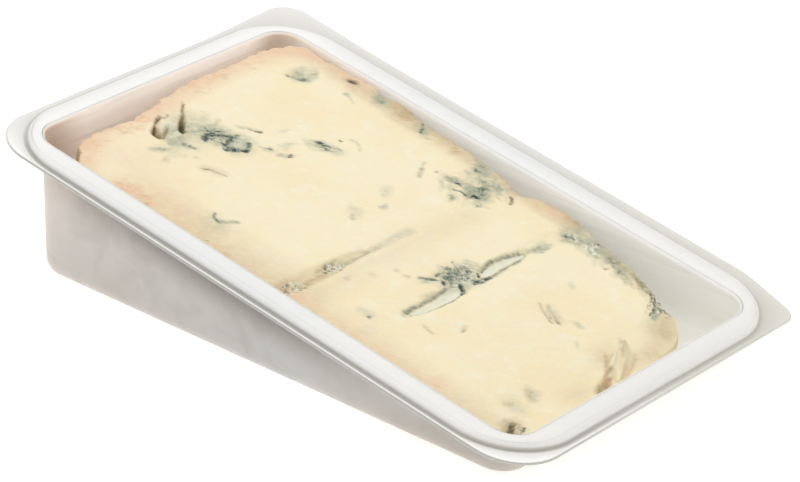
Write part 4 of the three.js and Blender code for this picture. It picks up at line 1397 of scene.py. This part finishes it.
    def band_ring(self, share: float, under: float, line: float = 0.0) -> Ring:
        """Makes a ring over the band's crown.

        Args:
            share: 0 at the band's outer edge and 1 at its mouth.
            under: 0 for the upper face, the sheet's thickness for the underside.
            line: How much painted shade greys it.

        Returns:
            The ring.
        """
        away = min(abs(share - self.crown_at) / self.crown_reach, 1.0)
        z = self.band_crown * (1 - away ** self.crown_power) - under
        corner = blend(self.band_corner, self.tub_corner + self.mouth_round, share)
        return self.rim_ring(share, 0, corner, z, band=1.0, line=line)

    def rings(self) -> list[Ring]:
        """Lists the whole section, from the inner floor over the rim to the outer floor.

        Returns:
            The rings in order.
        """
        edge, step, run = self.band_edge_round, self.band_step, self.band_step_run
        mouth = self.mouth_round
        rings = self.wall_stack(0)
        # The mouth's rounding carries a painted highlight.
        for turn in np.linspace(0.2, 1, 5) * math.pi / 2:
            inward = mouth * (0.5 - (1 - math.cos(turn)))
            rings.append(self.rim_ring(
                1, inward, self.tub_corner + mouth - inward, mouth * (math.sin(turn) - 1),
                band=math.sin(turn) ** 3, inside=1.0, mouth=math.sin(turn)))
        rings += [self.band_ring(share, 0, line) for share, line in self.band_shares]
        for turn in np.linspace(0, 1, self.round_rings) * math.pi / 2:
            inward = edge * (1 - math.sin(turn))
            rings.append(self.rim_ring(0, inward, self.band_corner - inward,
                                       edge * (math.cos(turn) - 1), band=1.0,
                                       line=self.edge_shade * smooth(*self.edge_shade_turns, turn)))
        for drop, out, line in self.step_rings:
            rings.append(self.rim_ring(0, -run * out, self.band_corner + run * out,
                                       -step * drop, flange=1.0, line=line))
        cut = self.sheet / 2
        rings.append(self.lip_ring(cut * 0.5 + self.lip_bend, -step, 0.0))
        # The cut edge's rounding gets full painted shade.
        for turn in np.linspace(0, math.pi, self.round_rings):
            rings.append(self.lip_ring(cut * 0.5 * (1 - math.sin(turn)),
                                       -step - cut * (1 - math.cos(turn)), 1.0))
        below = self.sheet
        rings.append(self.rim_ring(0, below - run, self.band_corner + run - below,
                                   -step - below, flange=1.0))
        rings.append(self.rim_ring(0, below * 1.2, self.band_corner - below, -edge / 2 - below,
                                   band=1.0))
        rings += [self.band_ring(share, below) for share in (0.4, 0.65)]
        rings.append(self.rim_ring(1, -mouth / 2 - below * 0.8,
                                   self.tub_corner + mouth + below, -below, band=1.0))
        return rings + self.wall_stack(self.sheet)[::-1]

    def build(self, plane: RimPlane) -> bpy.types.Object:
        """Builds the tray.

        Args:
            plane: The rim's plane, which is settled on the CAD tray here.

        Returns:
            The finished piece.
        """
        rings = self.rings()
        plane.settle(np.concatenate([ring.points for ring in rings]), "tray")
        count = len(rings[0].points)
        shape = bmesh.new()
        station = shape.verts.layers.int.new("station")
        looks = {name: shape.verts.layers.float.new(name)
                 for name in ("band", "flange", "line", "inside", "shade", "mouth")}
        bmesh.ops.create_circle(shape, cap_ends=True, cap_tris=True, segments=count, radius=1)
        centre = min(shape.verts, key=lambda vertex: vertex.co.length)
        centre.co = plane.placed(np.array([[0, 0, self.sheet - self.depth_at(0)]]))[0]
        loop = [vertex for vertex in shape.verts if vertex is not centre]
        for vertex in loop:
            angle = math.atan2(vertex.co.y, vertex.co.x)
            vertex[station] = round(angle / math.tau * count) % count
        for number, ring in enumerate(rings):
            if number:
                loop = extrude_rim(shape)
            places = plane.placed(ring.points)
            for vertex in loop:
                vertex.co = places[vertex[station]]
                for name, layer in looks.items():
                    vertex[layer] = ring.look(name)[vertex[station]]
        close_rim(shape).co = plane.placed(np.array([[0, 0, -self.depth_at(0)]]))[0]
        piece = make_object("tray_shell", shape, self.finish.material())
        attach(piece, ROOT)
        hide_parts("tray")
        return piece


@dataclass
class Cheese:
    """The slab of cheese: its edges, its broad form, its creases and its marks."""

    tray: Tray
    top_level: float = -2.3
    gap: float = 0.4
    foot_gap: float = 0.4
    foot: float = 4.5
    length: float = 140.0
    breadth: float = 84.0
    near_edge: float = -43.4
    thick_round: float = 1.2
    side_round: float = 1.8
    thin_round: float = 3.0
    cells_along: int = 382
    cells_across: int = 224
    thick_edge: tuple[Place, ...] = (
        (-59, -43.4), (-63.5, -38.5), (-67.5, -34), (-68.6, -26), (-68, -18), (-68, -11),
        (-69.6, -4), (-71.6, 4), (-71.8, 13), (-71.2, 22), (-70.8, 31), (-69, 38.5), (-66, 43))
    far_edge: tuple[Place, ...] = (
        (-66, 43), (-54, 43.2), (-43, 42.8), (-38.5, 41), (-33, 42.6), (-20, 40.8), (-8, 40.4),
        (3, 39.2), (9, 37.4), (14, 40), (24, 41), (33, 38), (44, 35), (53, 32.2), (59.5, 28.4),
        (63.5, 28.2), (67.8, 25))
    thin_edge: tuple[Place, ...] = (
        (71.5, -43.4), (72.2, -28), (72.4, -12), (72.4, 4), (71.4, 16), (67.8, 25))
    waves: tuple[Wave, ...] = (
        Wave(0.3, 0.085, 0.06, 0.4), Wave(0.18, 0.23, 0.11, 0), Wave(0.12, -0.13, 0.31, 1.6))
    mounds: tuple[Mound, ...] = (
        Mound((47, -8), (24, 34), 0.9), Mound((-25, 2), (34, 36), 0.5),
        Mound((14, 6), (12, 40), 0.4), Mound((-60.6, -12.6), (2.2, 2.2), 0.9),
        Mound((-56.4, -13.2), (2.2, 2.8), 0.9), Mound((-55.4, -18.4), (2, 1.6), 0.5),
        Mound((68, 24), (9, 9), -2.2),
        Mound((69, -38.6), (3, 2.6), -1.6), Mound((-46.8, 4.5), (2.4, 1.6), -0.4),
        Mound((-34.8, 3), (2, 2), -0.4), Mound((-57.4, 32), (2.4, 3.4), -0.6))
    furrows: tuple[Furrow, ...] = (
        Furrow((2.6, -48), (3, -13), 3.2, -0.8), Furrow((3, -16), (3.4, 34), 4, -0.2),
        Furrow((26, -48), (26.4, 44), 4, -0.3), Furrow((26, -24.5), (27.2, -4), 2.6, -0.6),
        Furrow((25.6, 2), (25.4, 20), 2.5, -0.6), Furrow((-64.5, -10.8), (-61.6, -15.2), 0.6, -0.6),
        Furrow((-62, -14.9), (-57.8, -17.6), 1.3, -1.4), Furrow((-66, -1), (-59, -8), 0.5, -0.6),
        Furrow((-61.5, -6), (-56.2, -11.8), 1.0, -1.5), Furrow((-60, -12.4), (-57.4, -17), 0.8, -0.7),
        Furrow((63, 9), (71, -3), 1.6, 0.8), Furrow((64.5, 4), (71.5, -10), 1.3, 0.7),
        Furrow((67.4, -1), (71.8, -10.5), 1.4, -0.9))
    crumbs: tuple[Mound, ...] = (
        Mound((-57, -11), (9, 9), 0.35), Mound((-70, -4), (6, 34), 0.5),
        Mound((-48.5, -5), (9, 5), 0.3), Mound((-32, 13.5), (5, 3), 0.25),
        Mound((1, 30), (9, 10), 0.35), Mound((22, -4), (6, 9), 0.35), Mound((31, 34), (10, 4), 0.5),
        Mound((57, 30), (8, 5), 0.55), Mound((3, -37), (4, 8), 0.4), Mound((3, -21), (4, 6), 0.35))
    far_rise: float = 1.5
    far_rise_across: Place = (5, 42)
    far_rise_along: Place = (-50, 8)
    thin_fall: float = 1.4
    thin_fall_along: Place = (56, 75)
    ragged: float = 0.8
    rind_grain: Grain = (3.0, 3, 21.0)
    far_grain: Grain = (4.0, 3, 31.0)
    sway_grains: tuple[Grain, Grain] = ((2.4, 3, 9.0), (2.4, 3, 17.0))
    swell: float = 0.14
    swell_grain: Grain = (7.0, 4, 1.0)
    crumble: float = 0.05
    crumb_grain: Grain = (1.8, 3, 5.0)
    smear: float = 0.10
    smear_grain: Grain = (2.0, 3, 41.0)
    smear_way: Place = (0.77, 0.63)
    smear_squeeze: float = 0.25
    firm_reach: float = 0.9
    mist_gain: float = 1.35
    side_rounds: int = 4
    side_steps: tuple[tuple[float, float], ...] = (
        (0.12, 0), (0.3, 0), (0.5, 0), (0.75, 0), (1, 0), (1, 0.35), (1, 0.7), (1, 1))
    finish: PasteFinish = PasteFinish()

    def underside_at(self, x: Numbers) -> Numbers:
        """Depth of the cheese's underside under the rim."""
        return self.tray.depth_at(x) - self.tray.sheet - self.foot_gap

    def keep_in(self, points: np.ndarray, depth: np.ndarray, floor: np.ndarray) -> np.ndarray:
        """Moves plan places inside the tray's inner wall, leaving the gap.

        Args:
            points: Plan places, one a row.
            depth: Depth of each under the rim.
            floor: Depth of the cheese's underside there.

        Returns:
            The places, moved inwards where they were too far out.
        """
        foot = self.tray.tub_foot - self.tray.sheet
        into = np.clip((depth - floor + foot) / foot, 0, 1)
        clearance = self.gap + foot * (1 - np.sqrt(1 - into ** 2))
        sides = self.tray.tub_sides(np.maximum(depth, 0), 0)
        corner = self.tray.tub_corner
        centre = np.stack([(sides.thin + sides.thick) / 2, (sides.near + sides.far) / 2], axis=1)
        core = np.stack([(sides.thin - sides.thick) / 2 - clearance - corner,
                         (sides.far - sides.near) / 2 - clearance - corner], axis=1)
        away = points - centre
        excess = np.maximum(np.abs(away) - core, 0) * np.sign(away)
        distance = np.hypot(*excess.T)
        over = np.maximum(distance - corner, 0) / np.maximum(distance, 1e-9)
        return points - excess * over[:, None]

    def edge_places(self, edge: tuple[Place, ...], share: np.ndarray) -> np.ndarray:
        """Follows an edge of the slab as a smooth curve through its places.

        Args:
            edge: Places that the curve goes through.
            share: How far along the curve, from 0 to 1.

        Returns:
            Plan places on the edge, kept inside the tray.
        """
        knots = np.array(edge, dtype=float)
        last = len(knots) - 1
        along = share * last
        number = np.minimum(along.astype(int), last - 1)
        t = (along - number)[:, None]
        before, here = knots[np.maximum(number - 1, 0)], knots[number]
        after, beyond = knots[number + 1], knots[np.minimum(number + 2, last)]
        leave, arrive = (after - before) / 2, (beyond - here) / 2
        curve = ((2 * here - 2 * after + leave + arrive) * t ** 3
                 + (3 * after - 3 * here - 2 * leave - arrive) * t ** 2 + leave * t + here)
        depth = np.full(len(curve), -self.top_level)
        return self.keep_in(curve, depth, self.underside_at(curve[:, 0]))

    def plan(self, u: np.ndarray, v: np.ndarray) -> np.ndarray:
        """Blends the slab's plan between its four edges.

        Args:
            u: Share of the way from the thick end to the thin end.
            v: Share of the way from the near side to the far side.

        Returns:
            Plan places, one a row.
        """
        near_side = (self.thick_edge[0], self.thin_edge[0])
        ends = np.array([0.0, 1.0])
        near, far = self.edge_places(near_side, u), self.edge_places(self.far_edge, u)
        thick, thin = self.edge_places(self.thick_edge, v), self.edge_places(self.thin_edge, v)
        near_ends = self.edge_places(near_side, ends)
        far_ends = self.edge_places(self.far_edge, ends)
        zero = np.zeros(len(u))
        thick[:, 0] += self.ragged * roughen(np.column_stack([thick, zero]), *self.rind_grain)
        far[:, 1] -= self.ragged * np.abs(roughen(np.column_stack([far, zero]), *self.far_grain))
        u, v = u[:, None], v[:, None]
        corners = (near_ends[0] * (1 - u) * (1 - v) + near_ends[1] * u * (1 - v)
                   + far_ends[0] * (1 - u) * v + far_ends[1] * u * v)
        return near * (1 - v) + far * v + thick * (1 - u) + thin * u - corners

    def top(self, places: np.ndarray) -> np.ndarray:
        """Finds the level of the top, without its marks.

        Args:
            places: Plan places, one a row.

        Returns:
            Levels over the rim's plane.
        """
        x, y = places.T
        z = self.top_level - self.thin_fall * smooth(*self.thin_fall_along, x)
        z += self.far_rise * smooth(*self.far_rise_across, y) * (1 - smooth(*self.far_rise_along, x))
        for wave in self.waves:
            z += wave.height * np.sin(x * wave.along + y * wave.across + wave.phase)
        for form in self.mounds + self.furrows:
            z += form.rise * form.cover(x, y)
        flat = np.column_stack([places, np.zeros(len(places))])
        rough = roughen(flat, *self.crumb_grain)
        for patch in self.crumbs:
            z += patch.rise * rough * patch.cover(x, y)
        cos, sin = self.smear_way
        smeared = np.column_stack([self.smear_squeeze * (cos * x + sin * y), cos * y - sin * x, 0 * x])
        return (z + self.swell * roughen(flat, *self.swell_grain) + self.crumble * rough
                + self.smear * roughen(smeared, *self.smear_grain))

    def edge_drop(self, u: np.ndarray, v: np.ndarray) -> np.ndarray:
        """Finds how far the rounded edges lie under the top.

        Args:
            u: Share of the way along the slab.
            v: Share of the way across it.

        Returns:
            The drop at each place.
        """
        def rounding(distance: np.ndarray, radius: float) -> np.ndarray:
            """Gives the drop at a distance from an edge that is rounded by a radius."""
            into = np.maximum(radius - distance, 0) / radius
            return radius * (1 - np.sqrt(1 - into ** 2))

        return np.maximum.reduce([
            rounding(u * self.length, self.thick_round),
            rounding((1 - u) * self.length, self.thin_round),
            rounding(v * self.breadth, self.side_round),
            rounding((1 - v) * self.breadth, self.thick_round),
        ])

    def side(self, rim: np.ndarray, share: np.ndarray, foot: np.ndarray) -> np.ndarray:
        """Finds points of the slab's side under points of its rim.

        Args:
            rim: Points of the rim.
            share: Share of the way down to the foot.
            foot: Share of the way through the foot.

        Returns:
            The points of the side.
        """
        place, depth = rim[:, :2], -rim[:, 2]
        for _ in range(self.side_rounds):
            floor = self.underside_at(place[:, 0])
            foot_top = np.maximum(floor - self.foot, -rim[:, 2] + self.gap)
            depth = blend(-rim[:, 2], foot_top, share) + (floor - foot_top) * foot
            place = self.keep_in(rim[:, :2], depth, floor)
        return np.column_stack([place, -depth])

    def marks(self) -> list[Mark | Patch]:
        """Lists every mark and patch, with the threads of the thickets."""
        found = []
        for group in MARK_GROUPS:
            for item in group:
                found += item.marks() if isinstance(item, Thicket) else [item]
        return found

    def paint(self, places: np.ndarray) -> tuple[dict[Tone, np.ndarray], np.ndarray]:
        """Lays the marks on plan places.

        Args:
            places: Plan places, one a row.

        Returns:
            The cover of each tone, and how deep the marks cut.
        """
        flat = np.column_stack([places, np.zeros(len(places))])
        sway = np.column_stack([roughen(flat, *grain) for grain in self.sway_grains])
        tones = {tone: np.zeros(len(places)) for tone in Tone}
        cut = np.zeros(len(places))
        for mark in self.marks():
            swayed = places + mark.sway * sway
            low, high = mark.box()
            near = np.flatnonzero(((swayed > low) & (swayed < high)).all(axis=1))
            cover = mark.cover(swayed[near])
            if mark.tone.firm:
                cover = smooth(0, self.firm_reach, cover)
            elif mark.tone.misty:
                cover = np.minimum(cover * self.mist_gain, 1)
            tones[mark.tone][near] += (1 - tones[mark.tone][near]) * cover * mark.strength
            cut[near] += mark.depth * cover
        return tones, cut

    def build(self, plane: RimPlane) -> bpy.types.Object:
        """Builds the slab.

        Args:
            plane: The rim's plane.

        Returns:
            The finished piece.
        """
        shape = bmesh.new()
        bmesh.ops.create_grid(shape, x_segments=self.cells_along, y_segments=self.cells_across,
                              size=0.5, matrix=Matrix.Translation((0.5, 0.5, 0)))
        for _ in self.side_steps:
            bmesh.ops.translate(shape, verts=extrude_rim(shape), vec=(0, 0, -1))
        middle = close_rim(shape)
        middle.co = (0.5, 0.5, -len(self.side_steps))
        shape.verts.index_update()
        pattern = np.array([vertex.co[:] for vertex in shape.verts], dtype=float)
        u, v = np.clip(pattern[:, 0], 0, 1), np.clip(pattern[:, 1], 0, 1)
        step = np.round(-pattern[:, 2]).astype(int)
        places = self.plan(u, v)
        tones, cut = self.paint(places)
        level = self.top(places) - self.edge_drop(u, v) - cut
        points = np.column_stack([places, level])
        steps = np.array(((0, 0),) + self.side_steps)
        lower = step > 0
        points[lower] = self.side(points[lower], *steps[step[lower]].T)
        points[middle.index] = (0, 0, -self.underside_at(0))
        for vertex, place in zip(shape.verts, plane.placed(points)):
            vertex.co = place
        for tone, values in tones.items():
            layer = shape.verts.layers.float.new(tone.value)
            for vertex, value in zip(shape.verts, values):
                vertex[layer] = value
        piece = make_object("cheese_slab", shape, self.finish.material())
        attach(piece, ROOT)
        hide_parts("cheese")
        return piece


@dataclass
class Studio:
    """Camera, ground and light."""

    lens: float = 163.147
    sensor: float = 36.0
    stand: tuple[float, float, float] = (480.512, -582.470, 394.321)
    azimuth: float = 39.3806
    elevation: float = 26.5301
    roll: float = 2.1662
    clip: Place = (0.01, 50.0)
    ground_radius: float = 4000.0
    ground_drop: float = 0.05
    sky: float = 0.76
    key_power: float = 6.8
    key_size: float = 1.3
    key_from: tuple[float, float, float] = (-0.35, 0.45, 1.3)
    ground: PaleGround = PaleGround()

    def camera(self) -> bpy.types.Object:
        """Sets up the camera at the fitted place and makes it the scene's camera.

        Returns:
            The camera.
        """
        turn, rise, roll = (math.radians(a) for a in (self.azimuth, self.elevation, self.roll))
        back = Vector((math.sin(turn) * math.cos(rise), -math.cos(turn) * math.cos(rise),
                       math.sin(rise)))
        level = Vector((math.cos(turn), math.sin(turn), 0))
        over = back.cross(level)
        right = level * math.cos(roll) + over * math.sin(roll)
        up = over * math.cos(roll) - level * math.sin(roll)
        data = bpy.data.cameras.new("view")
        data.lens, data.sensor_width, data.sensor_fit = self.lens, self.sensor, "HORIZONTAL"
        data.clip_start, data.clip_end = self.clip
        camera = bpy.data.objects.new("view", data)
        turned = Matrix((right, up, back)).transposed().to_4x4()
        camera.matrix_world = Matrix.Translation(Vector(self.stand) * MM) @ turned
        bpy.context.scene.collection.objects.link(camera)
        bpy.context.scene.camera = camera
        return camera

    def lay_ground(self) -> bpy.types.Object:
        """Lays the ground at the level that the tray stands on.

        Returns:
            The ground.
        """
        shape = bmesh.new()
        bmesh.ops.create_circle(shape, cap_ends=True, segments=96, radius=self.ground_radius * MM)
        level = CAD_BOX[0][2] - self.ground_drop * MM
        bmesh.ops.translate(shape, verts=shape.verts[:], vec=(0, 0, level))
        ground = make_object("ground", shape, self.ground.material())
        return ground

    def light(self) -> None:
        """Adds the soft overhead light and the even white surround."""
        scene = bpy.context.scene
        scene.view_settings.view_transform = "Standard"
        world = bpy.data.worlds.new("surround")
        world.use_nodes = True
        world.node_tree.nodes["Background"].inputs["Color"].default_value = (1, 1, 1, 1)
        world.node_tree.nodes["Background"].inputs["Strength"].default_value = self.sky
        scene.world = world
        data = bpy.data.lights.new("soft_key", "AREA")
        data.shape, data.size, data.energy = "DISK", self.key_size, self.key_power
        key = bpy.data.objects.new("soft_key", data)
        place = Vector(self.key_from)
        key.matrix_world = Matrix.Translation(place) @ place.to_track_quat("Z", "Y").to_matrix().to_4x4()
        scene.collection.objects.link(key)


def main() -> None:
    """Builds the studio, the tray and the cheese, and reports each piece."""
    logging.basicConfig(level=logging.INFO, format="%(message)s")
    studio = Studio()
    studio.camera()
    studio.lay_ground()
    studio.light()
    tray = Tray()
    plane = RimPlane(tray.tilt)
    for builder in (tray, Cheese(tray)):
        piece = builder.build(plane)
        LOG.info("%s: %d faces", piece.name, len(piece.data.polygons))


if __name__ == "__main__":
    main()
